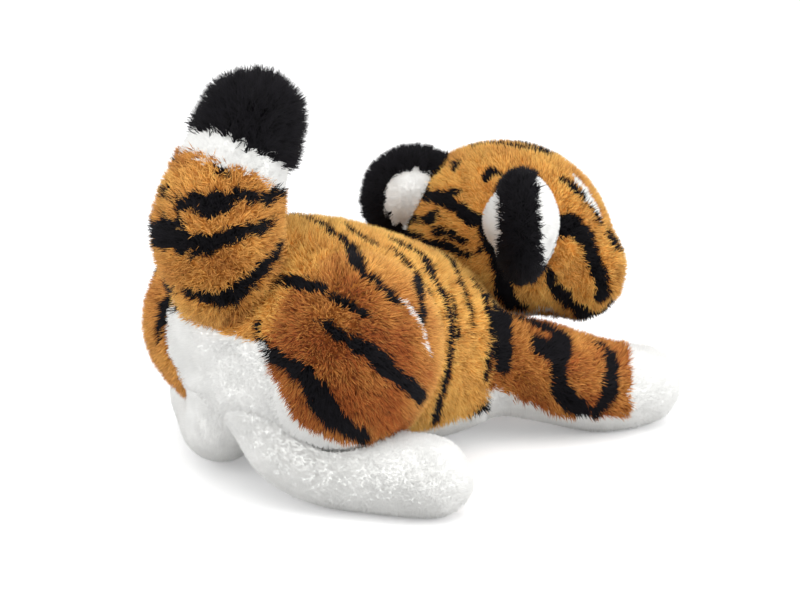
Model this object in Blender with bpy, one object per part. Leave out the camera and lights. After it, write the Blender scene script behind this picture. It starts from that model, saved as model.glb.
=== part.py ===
# Plush tiger cub in a play bow: chest and forelegs on the floor, rump and tail raised.
# Lengths are in metres and Z is up. The nose points along -Y, and the cub's left is +X.
# The origin is on the floor, in the middle of the flat patch that the chest rests on.
# Each stuffed form is a skin of plush panels round a core of stuffing.

import math

import bmesh
import bpy
from mathutils import Matrix, Vector
from mathutils.bvhtree import BVHTree

# Fits that every piece shares
seam_gap = 0.0003
swing_gap = 0.0009
skin_wall = 0.003
stuffing_gap = 0.0008
floor_sink = 0.0005
cut_reach = 0.5

# Torso, from the breast in front of the origin to the rump behind it
torso_front = 0.041
torso_rear = 0.179
torso_half_width = 0.068
torso_height = 0.161
# Each row: way along (front is -1, rump is 1), underside, back line, half width
torso_section_shares = [
    (-1.0, 0.31, 0.36, 0.06),
    (-0.8, 0.16, 0.53, 0.46),
    (-0.44, 0.037, 0.66, 0.69),
    (0.0, 0.0, 0.74, 0.853),
    (0.2, 0.037, 0.845, 0.97),
    (0.45, 0.124, 0.955, 1.0),
    (0.73, 0.205, 1.0, 0.97),
    (0.93, 0.323, 0.845, 0.62),
    (1.0, 0.55, 0.6, 0.06),
]
# The belly sags, so its lower corners are fuller than an oval's
torso_sag_share = 0.76
# The seam between the orange back and the white belly: way along, height
belly_seam_shares = [(-1.0, 0.2), (0.0, 0.17), (0.34, 0.17), (0.5, 0.3), (0.62, 0.6), (1.0, 0.68)]

# Head, whose middle is also the axis that it nods about
head_forward = 0.075
head_centre_height = 0.118
head_half_width = 0.072
head_half_length = 0.062
head_half_height = 0.056
cheek_radius = 0.033
cheek_place_shares = (0.64, -0.29, -0.375)
face_seam_share = 0.33

# Muzzle of two lobes, chin, nose and the sewn mouth
muzzle_half_width = 0.022
muzzle_half_length = 0.023
muzzle_half_height = 0.02
muzzle_lobe_share = 0.5
muzzle_place_shares = (-0.89, -0.46)
chin_half_width = 0.018
chin_half_length = 0.018
chin_half_height = 0.012
chin_place_shares = (0.35, -1.0)
nose_half_width = 0.01
nose_half_length = 0.006
nose_half_height = 0.007
nose_place_shares = (-0.84, 0.62)
mouth_thread_radius = 0.0008
mouth_half_width_share = 0.85
mouth_drop_shares = (-0.45, -0.62)

# Safety eyes: a dome on a stem, held by a washer inside the head
eye_radius = 0.008
eye_dome_height = 0.006
eye_stem_radius = 0.0022
eye_stem_length = 0.014
washer_radius = 0.0085
washer_thickness = 0.0016
eye_place_shares = (0.375, 0.07)

# Ears, round discs whose planes hold the vertical and point back and outwards
ear_radius = 0.037
ear_half_thickness = 0.0145
ear_patch_radius = 0.024
ear_patch_bulge = 0.021
ear_patch_spread = 0.028
ear_place_shares = (0.68, 0.58, 0.36)
ear_splay = math.radians(45)

# Forelegs, from the shoulder to the tip of the paw
shoulder_place_shares = (0.56, -0.07, 0.34)
paw_out = 0.103
paw_forward = 0.127
foreleg_half_width = 0.029
foreleg_height = 0.07
# Each row: out, forward, half width, half height, underside
foreleg_section_shares = [
    (0.0, 0.0, 0.86, 0.47, 0.31),
    (0.377, 0.292, 1.0, 0.46, 0.17),
    (0.689, 0.583, 1.0, 0.43, 0.0),
    (0.869, 0.808, 0.93, 0.39, 0.0),
    (0.945, 0.92, 0.78, 0.33, 0.03),
    (1.0, 1.0, 0.36, 0.17, 0.17),
]
paw_seam_shares = (0.28, 0.67)

# Hind legs: an oval thigh against the flank, and a foot that points outwards
hip_place_shares = (0.85, 0.67, 0.575)
thigh_half_width = 0.036
thigh_half_length = 0.056
thigh_half_height = 0.056
heel_place_shares = (0.36, 0.84)
toe_out = 0.122
toe_back = 0.088
foot_half_width = 0.026
foot_height = 0.05
# Each row: way from heel to toe, half width, half height, underside
foot_section_shares = [
    (0.0, 0.45, 0.35, 0.45),
    (0.24, 0.74, 0.42, 0.2),
    (0.54, 0.95, 0.5, 0.02),
    (0.78, 0.98, 0.5, 0.0),
    (0.9, 0.8, 0.43, 0.02),
    (1.0, 0.32, 0.18, 0.25),
]

# Tail, which leaves the rump, bows back and stands up
tail_root_shares = (0.883, 0.7)
tail_bow = 0.013
tail_rise = 0.138
tail_radius = 0.036
# Each row: back, up, radius
tail_section_shares = [
    (0.0, 0.0, 0.28),
    (0.23, 0.09, 0.74),
    (0.62, 0.21, 0.91),
    (0.92, 0.32, 0.97),
    (1.0, 0.428, 1.0),
    (0.23, 0.62, 0.889),
    (-0.77, 0.772, 0.8),
    (-1.62, 0.924, 0.66),
    (-1.92, 1.0, 0.17),
]
tail_band_shares = (0.62, 0.705)
tail_axis_share = 0.59

# How far each piece turns, and how many facets a form has
foreleg_swing = math.radians(16)
hind_swing = math.radians(10)
ear_swing = math.radians(12)
torso_sides, torso_rings = 24, 17
head_sides, head_rings = 20, 12
limb_sides, limb_rings = 14, 11
small_sides, small_rings = 12, 8
tail_path_points = 81

# Colours, as the photograph shows them
orange = (0.62, 0.27, 0.05)
white = (0.86, 0.85, 0.82)
black = (0.02, 0.02, 0.022)
stuffing_white = (0.8, 0.8, 0.78)
eye_amber = (0.35, 0.16, 0.03)
nose_pink = (0.45, 0.2, 0.18)
washer_grey = (0.5, 0.5, 0.5)


def clear_scene():
    for thing in list(bpy.data.objects):
        bpy.data.objects.remove(thing, do_unlink=True)


def material(name, colour, roughness):
    made = bpy.data.materials.new(name)
    made.use_nodes = True
    shader = made.node_tree.nodes["Principled BSDF"]
    shader.inputs["Base Color"].default_value = (*colour, 1)
    shader.inputs["Roughness"].default_value = roughness
    shader.inputs["Metallic"].default_value = 0
    return made


def add_object(name, bm):
    bmesh.ops.recalc_face_normals(bm, faces=bm.faces)
    mesh = bpy.data.meshes.new(name)
    bm.to_mesh(mesh)
    bm.free()
    mesh.shade_smooth()
    made = bpy.data.objects.new(name, mesh)
    bpy.context.scene.collection.objects.link(made)
    return made


def as_cutter(made):
    made.hide_render = True
    made.display_type = "WIRE"
    return made


def cut(piece, cutter, operation="DIFFERENCE"):
    step = piece.modifiers.new(operation.lower() + "_" + cutter.name, "BOOLEAN")
    step.object = cutter
    step.operation = operation
    step.solver = "EXACT"
    return piece


def finish(piece, look, carrier):
    # The piece gets its material and hangs on the empty that it turns with.
    piece.data.materials.clear()
    piece.data.materials.append(look)
    piece.parent = carrier
    piece.matrix_parent_inverse = carrier.matrix_world.inverted()
    return piece


def joint_empty(name, place):
    made = bpy.data.objects.new(name, None)
    made.matrix_world = Matrix.Translation(place)
    bpy.context.scene.collection.objects.link(made)
    return made


def ellipsoid(name, centre, radii, inset=0.0, turn=0.0, sides=limb_sides, rings=limb_rings):
    # A ball scaled to three half sizes, each made smaller by the inset.
    bm = bmesh.new()
    bmesh.ops.create_uvsphere(bm, u_segments=sides, v_segments=rings, radius=1)
    scale = Matrix.Diagonal((*(r - inset for r in radii), 1))
    place = Matrix.Translation(centre) @ Matrix.Rotation(turn, 4, "Z") @ scale
    bmesh.ops.transform(bm, matrix=place, verts=bm.verts)
    return add_object(name, bm)


def smooth_rows(rows, count):
    # Reads a smooth curve through hand-chosen rows, by the Catmull-Rom rule.
    made = []
    for step in range(count):
        way = step * (len(rows) - 1) / (count - 1)
        k = min(int(way), len(rows) - 2)
        u = way - k
        before, start = rows[max(k - 1, 0)], rows[k]
        end, after = rows[k + 1], rows[min(k + 2, len(rows) - 1)]
        row = []
        for a, b, c, d in zip(before, start, end, after):
            bend = (2 * a - 5 * b + 4 * c - d) * u * u + (3 * b - a - 3 * c + d) * u * u * u
            row.append((2 * b + (c - a) * u + bend) / 2)
        made.append(row)
    return made


def loft(name, rows, upright, inset=0.0, sides=limb_sides, straight=None,
         sag_share=1.0):
    # Oval sections square to a smooth line, with a small flat cap at each end.
    # Each row is x, y, z of the middle, half width and half height.
    # Where a straight direction is given, every section stands square to that.
    # A sag share under 1 fills out the lower corners of each section.
    middles = [Vector(row[:3]) for row in rows]
    last = len(rows) - 1
    bm = bmesh.new()
    loops = []
    for k, row in enumerate(rows):
        ahead = straight or (middles[min(k + 1, last)] - middles[max(k - 1, 0)]).normalized()
        across = ahead.cross(upright).normalized()
        up = across.cross(ahead)
        middle = middles[k]
        if k == 0:
            middle = middle + ahead * inset
        if k == last:
            middle = middle - ahead * inset
        half_width, half_height = row[3] - inset, row[4] - inset
        loop = []
        for side in range(sides):
            angle = math.tau * side / sides
            power = sag_share if math.sin(angle) < 0 else 1
            wide = math.copysign(abs(math.cos(angle)) ** power, math.cos(angle))
            high = math.copysign(abs(math.sin(angle)) ** power, math.sin(angle))
            offset = across * half_width * wide + up * half_height * high
            loop.append(bm.verts.new(middle + offset))
        loops.append(loop)
    for lower, upper in zip(loops, loops[1:]):
        for side in range(sides):
            other = (side + 1) % sides
            bm.faces.new((lower[side], lower[other], upper[other], upper[side]))
    bm.faces.new(loops[0])
    bm.faces.new(list(reversed(loops[-1])))
    return add_object(name, bm)


def side_prism(name, outline):
    # A closed outline of y and z, carried across the whole toy along X.
    bm = bmesh.new()
    near = [bm.verts.new((-cut_reach, y, z)) for y, z in outline]
    far = [bm.verts.new((cut_reach, y, z)) for y, z in outline]
    bm.faces.new(near)
    bm.faces.new(list(reversed(far)))
    for k in range(len(outline)):
        n = (k + 1) % len(outline)
        bm.faces.new((near[k], far[k], far[n], near[n]))
    return as_cutter(add_object(name, bm))


def rod(name, start, end, radius, sides=small_sides):
    bm = bmesh.new()
    run = end - start
    turn = run.to_track_quat("Z", "Y").to_matrix().to_4x4()
    place = Matrix.Translation((start + end) / 2) @ turn
    bmesh.ops.create_cone(bm, cap_ends=True, segments=sides, radius1=radius, radius2=radius,
                          depth=run.length, matrix=place)
    return add_object(name, bm)


def turned_copy(source, name, pivot, axis, angle):
    # The same mesh, turned about a joint, as a cutter that keeps the swing clear.
    made = as_cutter(bpy.data.objects.new(name, source.data))
    about = Matrix.Translation(pivot)
    made.matrix_world = about @ Matrix.Rotation(angle, 4, axis) @ about.inverted()
    bpy.context.scene.collection.objects.link(made)
    return made


def clear_of_swing(pieces, source, name, pivot, axis, angles):
    # What the source would touch as the pieces turn is cut from them.
    for number, angle in enumerate(angles):
        cutter = turned_copy(source, f"{name}_{number}", pivot, axis, -angle)
        for piece in pieces:
            cut(piece, cutter)


# Places that more than one piece is worked out from
def torso_along(share):
    return share * (torso_front if share < 0 else torso_rear)


def torso_place(out_share, along_share, up_share):
    place = (torso_half_width * out_share, torso_along(along_share), torso_height * up_share)
    return Vector(place)


def head_place(out_share, along_share, up_share):
    return head_centre + Vector((head_half_width * out_share, head_half_length * along_share,
                                 head_half_height * up_share))


def mirrored(place, side):
    return Vector((place.x * side, place.y, place.z))


head_centre = Vector((0, -head_forward, head_centre_height))
muzzle_centre = head_place(0, *muzzle_place_shares)
tail_axis = torso_place(0, tail_root_shares[0], tail_axis_share)
shoulder_place = torso_place(*shoulder_place_shares)
hip_place = torso_place(*hip_place_shares)
ear_place = head_place(*ear_place_shares)


def torso_form(name, inset, sides=torso_sides):
    rows = []
    for along, under, top, width in torso_section_shares:
        low = torso_height * under - floor_sink
        high = torso_height * top
        rows.append((0, torso_along(along), (low + high) / 2, torso_half_width * width,
                     (high - low) / 2))
    rows = smooth_rows(rows, torso_rings)
    return loft(name, rows, Vector((0, 0, 1)), inset, sides, Vector((0, 1, 0)), torso_sag_share)


def head_form(name, inset, sides=head_sides):
    # The skull is an ellipsoid, and each cheek a ball that bulges from its lower front.
    radii = (head_half_width, head_half_length, head_half_height)
    made = ellipsoid(name, head_centre, radii, inset, 0, sides, head_rings)
    for side, word in ((-1, "right"), (1, "left")):
        place = mirrored(head_place(*cheek_place_shares), side)
        cheek = ellipsoid(f"{name}_cheek_{word}", place, [cheek_radius] * 3, inset, 0,
                          small_sides, small_rings)
        cut(made, as_cutter(cheek), "UNION")
    return made


def hollow(piece, form):
    # Leaves only the skin of a form. It comes after the other cuts, which then meet plain solids.
    return cut(piece, as_cutter(form(piece.name + "_hollow", skin_wall)))


def make_torso(carrier, floor, socket):
    seam = [(torso_along(a), torso_height * h) for a, h in belly_seam_shares]
    start = (-cut_reach, seam[0][1])
    end = (cut_reach, seam[-1][1])
    under = [(cut_reach, -cut_reach), (-cut_reach, -cut_reach)]
    belly_side = side_prism("belly_side", [start, *seam, end, *under])
    raised = [(y - seam_gap, z + seam_gap) for y, z in [start, *seam, end]]
    belly_room = side_prism("belly_room", [*raised, *under])
    back = cut(torso_form("body_back_panel", 0.0), belly_room)
    belly = cut(torso_form("body_belly_panel", 0.0), belly_side, "INTERSECT")
    core = torso_form("body_stuffing", skin_wall + stuffing_gap, torso_sides // 2)
    for piece in (back, belly, core):
        cut(piece, socket)
        cut(piece, floor)
    hollow(back, torso_form)
    hollow(belly, torso_form)
    finish(back, plush_orange, carrier)
    finish(belly, plush_white, carrier)
    finish(core, filling, carrier)


def front_of(form, x, z):
    # Where a ray from the front meets a form, and the way that the form faces there.
    tree = BVHTree.FromObject(form, bpy.context.evaluated_depsgraph_get())
    place, normal, _, _ = tree.ray_cast(Vector((x, -cut_reach, z)), Vector((0, 1, 0)))
    return place, normal


def make_eye(side, word, face, core, carrier, skull):
    across = side * head_half_width * eye_place_shares[0]
    height = head_centre_height + head_half_height * eye_place_shares[1]
    place, out = front_of(skull, across, height)
    inner = place - out * (skin_wall + seam_gap)
    foot = place - out * eye_stem_length
    turn = out.to_track_quat("Z", "Y").to_matrix().to_4x4()
    bm = bmesh.new()
    bmesh.ops.create_uvsphere(bm, u_segments=small_sides, v_segments=small_rings, radius=1)
    bmesh.ops.bisect_plane(bm, geom=bm.verts[:] + bm.edges[:] + bm.faces[:], dist=seam_gap,
                           plane_co=(0, 0, 0), plane_no=(0, 0, -1), clear_outer=True)
    bmesh.ops.holes_fill(bm, edges=bm.edges)
    size = Matrix.Diagonal((eye_radius, eye_radius, eye_dome_height, 1))
    dome_rise = eye_radius * eye_radius / head_half_length
    raised = Matrix.Translation(place + out * (seam_gap + dome_rise))
    bmesh.ops.transform(bm, matrix=raised @ turn @ size, verts=bm.verts)
    eye = add_object(f"eye_{word}", bm)
    stem_top = place + out * (seam_gap + dome_rise + eye_dome_height / 2)
    cut(eye, as_cutter(rod(f"eye_stem_{word}", foot, stem_top, eye_stem_radius)), "UNION")
    stem_room = as_cutter(rod(f"eye_hole_{word}", foot - out * seam_gap, stem_top,
                              eye_stem_radius + seam_gap))
    washer_end = inner - out * washer_thickness
    washer = rod(f"eye_washer_{word}", inner, washer_end, washer_radius)
    pocket = as_cutter(rod(f"eye_pocket_{word}", inner + out * skin_wall,
                           washer_end - out * seam_gap, washer_radius + seam_gap))
    hollow = as_cutter(head_form(f"washer_seat_{word}", skin_wall + seam_gap))
    cut(washer, hollow, "INTERSECT")
    cut(washer, stem_room)
    cut(face, stem_room)
    cut(core, stem_room)
    cut(core, pocket)
    finish(eye, eye_plastic, carrier)
    finish(washer, washer_plastic, carrier)


def muzzle_form(name, inset):
    radii = (muzzle_half_width, muzzle_half_length, muzzle_half_height)
    lobe_out = Vector((muzzle_half_width * muzzle_lobe_share, 0, 0))
    size = (radii, inset, 0, small_sides, small_rings)
    made = ellipsoid(name, muzzle_centre + lobe_out, *size)
    other = ellipsoid(name + "_lobe", muzzle_centre - lobe_out, *size)
    return cut(made, as_cutter(other), "UNION")


def make_mouth(carrier, muzzle):
    # One thread that dips from the middle to each corner, laid on the two lobes.
    half = muzzle_half_width * mouth_half_width_share
    points = []
    stitches = 8
    for k in range(-stitches, stitches + 1):
        share = abs(k) / stitches
        middle_drop, low_drop = mouth_drop_shares
        drop = middle_drop + (low_drop - middle_drop) * math.sin(math.pi * share)
        z = muzzle_centre.z + muzzle_half_height * drop
        place, out = front_of(muzzle, half * k / stitches, z)
        points.append(place + Vector((0, -1, 0)) * mouth_thread_radius * 2)
    line = bpy.data.curves.new("mouth_thread", "CURVE")
    line.dimensions = "3D"
    line.bevel_depth = mouth_thread_radius
    line.bevel_resolution = 1
    line.use_fill_caps = True
    spline = line.splines.new("POLY")
    spline.points.add(len(points) - 1)
    for point, place in zip(spline.points, points):
        point.co = (*place, 1)
    mouth = bpy.data.objects.new("mouth_thread", line)
    bpy.context.scene.collection.objects.link(mouth)
    finish(mouth, plush_black, carrier)


def make_face(carrier, skull_room):
    muzzle = cut(muzzle_form("muzzle", 0.0), skull_room)
    muzzle_room = as_cutter(muzzle_form("muzzle_room", -seam_gap))
    chin_away = Vector((0, chin_half_length * chin_place_shares[0],
                        muzzle_half_height * chin_place_shares[1]))
    chin = ellipsoid("chin", muzzle_centre + chin_away,
                     (chin_half_width, chin_half_length, chin_half_height), 0, 0,
                     small_sides, small_rings)
    nose_away = Vector((0, muzzle_half_length * nose_place_shares[0],
                        muzzle_half_height * nose_place_shares[1]))
    nose = ellipsoid("nose", muzzle_centre + nose_away,
                     (nose_half_width, nose_half_length, nose_half_height), 0, 0,
                     small_sides, small_rings)
    for piece in (chin, nose):
        cut(piece, skull_room)
        cut(piece, muzzle_room)
    make_mouth(carrier, muzzle)
    finish(muzzle, plush_white, carrier)
    finish(chin, plush_white, carrier)
    finish(nose, nose_plastic, carrier)


def make_head(carrier, skull_room):
    seam_y = head_centre.y - head_half_length * face_seam_share
    far = [(-cut_reach, cut_reach), (-cut_reach, -cut_reach)]
    front = side_prism("face_side", [(seam_y, -cut_reach), (seam_y, cut_reach), *far])
    room_y = seam_y + seam_gap
    front_room = side_prism("face_room", [(room_y, -cut_reach), (room_y, cut_reach), *far])
    back = hollow(cut(head_form("head_back_panel", 0.0), front_room), head_form)
    face = hollow(cut(head_form("head_face_panel", 0.0), front, "INTERSECT"), head_form)
    core = head_form("head_stuffing", skin_wall + stuffing_gap, head_sides // 2)
    skull = as_cutter(head_form("skull", 0.0))
    for side, word in ((-1, "right"), (1, "left")):
        make_eye(side, word, face, core, carrier, skull)
    make_face(carrier, skull_room)
    finish(back, plush_orange, carrier)
    finish(face, plush_orange, carrier)
    finish(core, filling, carrier)


def make_ear(side, word, skull_room):
    # A black rim round a white patch in front and a white patch behind.
    place = mirrored(ear_place, side)
    turn = side * (math.pi / 2 - ear_splay)
    facing = Vector((side * math.sin(ear_splay), -math.cos(ear_splay), 0))
    radii = (ear_radius, ear_half_thickness, ear_radius)
    bulge = (ear_patch_spread, ear_patch_bulge, ear_patch_spread)
    carrier = joint_empty(f"ear_{word}_root", place)
    rim = ellipsoid(f"ear_{word}_rim", place, radii, 0.0, turn)
    reach = facing * ear_radius
    hole = as_cutter(rod(f"ear_{word}_hole", place - reach, place + reach,
                         ear_patch_radius + seam_gap))
    patches = []
    for part, way in (("front", 1), ("back", -1)):
        patch = rod(f"ear_{word}_{part}", place + facing * way * seam_gap / 2,
                    place + facing * way * ear_radius, ear_patch_radius)
        disc = as_cutter(ellipsoid(f"ear_{word}_{part}_disc", place, bulge, 0.0, turn))
        patches.append(cut(patch, disc, "INTERSECT"))
    pieces = [rim, *patches]
    for piece in pieces:
        cut(piece, skull_room)
    angles = (-ear_swing, ear_swing)
    clear_of_swing(pieces, skull_room, f"ear_{word}_sweep", place, "Z", angles)
    cut(rim, hole)
    finish(rim, plush_black, carrier)
    for patch in patches:
        finish(patch, plush_white, carrier)


def make_foreleg(side, word, floor, torso_room, skull_room, socket):
    shoulder = mirrored(shoulder_place, side)
    rows = []
    for out, ahead, width, height, under in foreleg_section_shares:
        x = shoulder.x + (side * paw_out - shoulder.x) * out
        y = shoulder.y + (-paw_forward - shoulder.y) * ahead
        half_height = foreleg_height * height
        z = foreleg_height * under - floor_sink + half_height
        rows.append((x, y, z, foreleg_half_width * width, half_height))
    rows = smooth_rows(rows, limb_rings)

    def form(name, inset, sides=limb_sides):
        return loft(name, rows, Vector((0, 0, 1)), inset, sides)

    seam_z = foreleg_height * paw_seam_shares[0]
    seam_y = shoulder.y + (-paw_forward - shoulder.y) * paw_seam_shares[1]
    far = [(-cut_reach, cut_reach), (-cut_reach, -cut_reach), (cut_reach, -cut_reach)]
    step = [(cut_reach, seam_z), (seam_y, seam_z), (seam_y, cut_reach)]
    paw_side = side_prism(f"paw_side_{word}", [*step, *far])
    raised = [(y + seam_gap, z + seam_gap) for y, z in step]
    paw_room = side_prism(f"paw_room_{word}", [*raised, *far])
    sleeve = form(f"foreleg_{word}_sleeve", 0.0)
    paw = form(f"foreleg_{word}_paw", 0.0)
    core = form(f"foreleg_{word}_stuffing", skin_wall + stuffing_gap, limb_sides // 2)
    pieces = (sleeve, paw, core)
    for piece in pieces:
        cut(piece, torso_room)
        cut(piece, floor)
    for piece in (sleeve, core):
        cut(piece, skull_room)
        cut(piece, socket)
    clear_of_swing(pieces, torso_room, f"foreleg_{word}_sweep", shoulder, "X", (foreleg_swing,))
    cut(sleeve, paw_room)
    cut(paw, paw_side, "INTERSECT")
    hollow(sleeve, form)
    hollow(paw, form)
    carrier = joint_empty(f"foreleg_{word}_shoulder", shoulder)
    finish(sleeve, plush_orange, carrier)
    finish(paw, plush_white, carrier)
    finish(core, filling, carrier)


def make_hind_leg(side, word, floor, torso_room):
    hip = mirrored(hip_place, side)
    radii = (thigh_half_width, thigh_half_length, thigh_half_height)

    def thigh_form(name, inset, sides=limb_sides):
        return ellipsoid(name, hip, radii, inset, 0, sides)

    heel_x = side * torso_half_width * heel_place_shares[0]
    heel_y = torso_along(heel_place_shares[1])
    rows = []
    for way, width, height, under in foot_section_shares:
        half_height = foot_height * height
        z = foot_height * under - floor_sink + half_height
        rows.append((heel_x + (side * toe_out - heel_x) * way,
                     heel_y + (toe_back - heel_y) * way, z,
                     foot_half_width * width, half_height))
    rows = smooth_rows(rows, limb_rings)

    def foot_form(name, inset, sides=limb_sides):
        return loft(name, rows, Vector((0, 0, 1)), inset, sides)

    thigh = thigh_form(f"thigh_{word}_panel", 0.0)
    thigh_core = thigh_form(f"thigh_{word}_stuffing", skin_wall + stuffing_gap, limb_sides // 2)
    thigh_room = as_cutter(thigh_form(f"thigh_{word}_room", -seam_gap))
    foot = cut(foot_form(f"foot_{word}_panel", 0.0), thigh_room)
    foot_core = foot_form(f"foot_{word}_stuffing", skin_wall + stuffing_gap, limb_sides // 2)
    cut(foot_core, thigh_room)
    pieces = (thigh, thigh_core, foot, foot_core)
    for piece in pieces:
        cut(piece, torso_room)
        cut(piece, floor)
    angles = (-hind_swing, hind_swing)
    clear_of_swing(pieces, torso_room, f"hind_{word}_sweep", hip, "X", angles)
    hollow(thigh, thigh_form)
    hollow(foot, foot_form)
    carrier = joint_empty(f"hind_leg_{word}_hip", hip)
    finish(thigh, plush_orange, carrier)
    finish(foot, plush_white, carrier)
    finish(thigh_core, filling, carrier)
    finish(foot_core, filling, carrier)


def tail_seat():
    # The rump turned about the tail's own axis, so that the root slides round it.
    rows = []
    for along, _, top, width in torso_section_shares:
        radius = max(torso_half_width * width, torso_height * top - tail_axis.z)
        rows.append((0, torso_along(along), tail_axis.z, radius, radius))
    rows = smooth_rows(rows, torso_rings)
    seat = loft("tail_seat", rows, Vector((0, 0, 1)), -swing_gap, torso_sides, Vector((0, 1, 0)))
    return as_cutter(seat)


def make_tail():
    root = torso_place(0, *tail_root_shares)
    seat = tail_seat()
    rows = []
    for back, up, radius in tail_section_shares:
        rows.append((0, root.y + tail_bow * back, root.z + tail_rise * up,
                     tail_radius * radius, tail_radius * radius))
    path = smooth_rows(rows, tail_path_points)
    first, second = (round(share * (tail_path_points - 1)) for share in tail_band_shares)
    rows = smooth_rows(rows, len(rows) * 2 - 1)

    def form(name, inset, sides=limb_sides):
        return loft(name, rows, Vector((1, 0, 0)), inset, sides)

    def above(name, point, lift):
        # A broad block square to the tail, which holds everything past one point of its path.
        middle, before, after = (Vector(path[k][:3]) for k in (point, point - 1, point + 1))
        ahead = (after - before).normalized()
        start = middle + ahead * lift
        return as_cutter(rod(name, start, start + ahead * tail_rise, tail_rise))

    sleeve = cut(form("tail_sleeve", 0.0), above("tail_over_sleeve", first, 0))
    band = cut(form("tail_band", 0.0), above("tail_band_side", first, seam_gap), "INTERSECT")
    cut(band, above("tail_over_band", second, 0))
    tip = cut(form("tail_tip", 0.0), above("tail_tip_side", second, seam_gap), "INTERSECT")
    core = form("tail_stuffing", skin_wall + stuffing_gap, limb_sides // 2)
    pieces = (sleeve, band, tip, core)
    for piece in (sleeve, core):
        cut(piece, seat)
    for piece in (sleeve, band, tip):
        hollow(piece, form)
    carrier = joint_empty("tail_root", tail_axis)
    looks = (plush_orange, plush_white, plush_black, filling)
    for piece, look in zip(pieces, looks):
        finish(piece, look, carrier)


clear_scene()
plush_orange = material("orange_plush", orange, 0.9)
plush_white = material("white_plush", white, 0.9)
plush_black = material("black_plush", black, 0.9)
filling = material("stuffing", stuffing_white, 1)
eye_plastic = material("eye_plastic", eye_amber, 0.1)
nose_plastic = material("nose_plastic", nose_pink, 0.35)
washer_plastic = material("washer_plastic", washer_grey, 0.5)

floor_block = side_prism("under_floor", [(-cut_reach, 0), (cut_reach, 0),
                                         (cut_reach, -cut_reach), (-cut_reach, -cut_reach)])
socket_radii = (head_half_width, head_half_length, head_half_length)
neck_socket = as_cutter(ellipsoid("neck_socket", head_centre, socket_radii, -swing_gap, 0,
                                  head_sides, head_rings))
torso_cutter = as_cutter(torso_form("torso_room", -swing_gap))
skull_cutter = as_cutter(head_form("skull_room", -swing_gap))
body_empty = joint_empty("body_origin", Vector((0, 0, 0)))
head_empty = joint_empty("head_neck", head_centre)
bpy.context.view_layer.update()

make_torso(body_empty, floor_block, neck_socket)
make_head(head_empty, skull_cutter)
for hand, hand_word in ((-1, "right"), (1, "left")):
    make_ear(hand, hand_word, skull_cutter)
    make_foreleg(hand, hand_word, floor_block, torso_cutter, skull_cutter, neck_socket)
    make_hind_leg(hand, hand_word, floor_block, torso_cutter)
make_tail()
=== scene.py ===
import math

import bpy
import numpy as np
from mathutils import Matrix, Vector


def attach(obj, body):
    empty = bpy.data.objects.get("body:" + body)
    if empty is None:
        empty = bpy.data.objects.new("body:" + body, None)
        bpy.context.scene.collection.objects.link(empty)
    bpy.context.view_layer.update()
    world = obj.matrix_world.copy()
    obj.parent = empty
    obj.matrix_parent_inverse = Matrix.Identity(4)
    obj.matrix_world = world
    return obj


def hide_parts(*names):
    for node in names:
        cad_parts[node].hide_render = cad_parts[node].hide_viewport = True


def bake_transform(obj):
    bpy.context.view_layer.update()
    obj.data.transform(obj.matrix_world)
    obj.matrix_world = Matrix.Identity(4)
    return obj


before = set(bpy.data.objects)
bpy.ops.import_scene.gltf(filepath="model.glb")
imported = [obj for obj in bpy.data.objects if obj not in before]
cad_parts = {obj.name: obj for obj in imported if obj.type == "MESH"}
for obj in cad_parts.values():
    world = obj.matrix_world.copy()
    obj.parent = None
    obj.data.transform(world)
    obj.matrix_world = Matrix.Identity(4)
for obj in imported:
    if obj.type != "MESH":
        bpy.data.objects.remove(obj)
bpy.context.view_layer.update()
chance = np.random.default_rng(11)
mm = 0.001
sideWords = {-1: "Right", 1: "Left"}
upwards = np.array([0, 0, 1.0])

# Camera and studio, in metres, degrees and watts. Each lamp: name, place, width, power.
studio = {
    "azimuth": 225, "elevation": 18, "distance": 1.18, "aim": (-0.0156, 0.0394, 0.099),
    "lens": 85, "sensor": 36, "sky": 1.08, "paper": 0.8, "floorGlow": 0.27, "floorWidth": 6,
    "lampAim": (0, 0.03, 0.08),
    "lamps": [("topSoftbox", (-0.3, 0.2, 1.5), 1.2, 11), ("rearSoftbox", (0.2, 1.6, 0.7), 1.0, 10),
              ("rightSoftbox", (-1.5, -0.6, 0.5), 0.9, 13)],
}


def faceFrom(thing, place, aim):
    # Stands at the place and looks along aim - place.
    thing.location = place
    thing.rotation_euler = (Vector(aim) - Vector(place)).to_track_quat("-Z", "Y").to_euler()
    bpy.context.scene.collection.objects.link(thing)


def placeCamera():
    # Place = aim + distance * (sin az cos el, -cos az cos el, sin el).
    azimuth, elevation = math.radians(studio["azimuth"]), math.radians(studio["elevation"])
    away = Vector((math.sin(azimuth) * math.cos(elevation), -math.cos(azimuth) * math.cos(elevation),
                   math.sin(elevation)))
    lens = bpy.data.cameras.new("photoCamera")
    lens.lens = studio["lens"]
    lens.sensor_width = studio["sensor"]
    camera = bpy.data.objects.new("photoCamera", lens)
    faceFrom(camera, Vector(studio["aim"]) + away * studio["distance"], studio["aim"])
    bpy.context.scene.camera = camera


def addLamp(name, place, width, power):
    light = bpy.data.lights.new(name, "AREA")
    light.size = width
    light.energy = power
    faceFrom(bpy.data.objects.new(name, light), place, studio["lampAim"])


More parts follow.
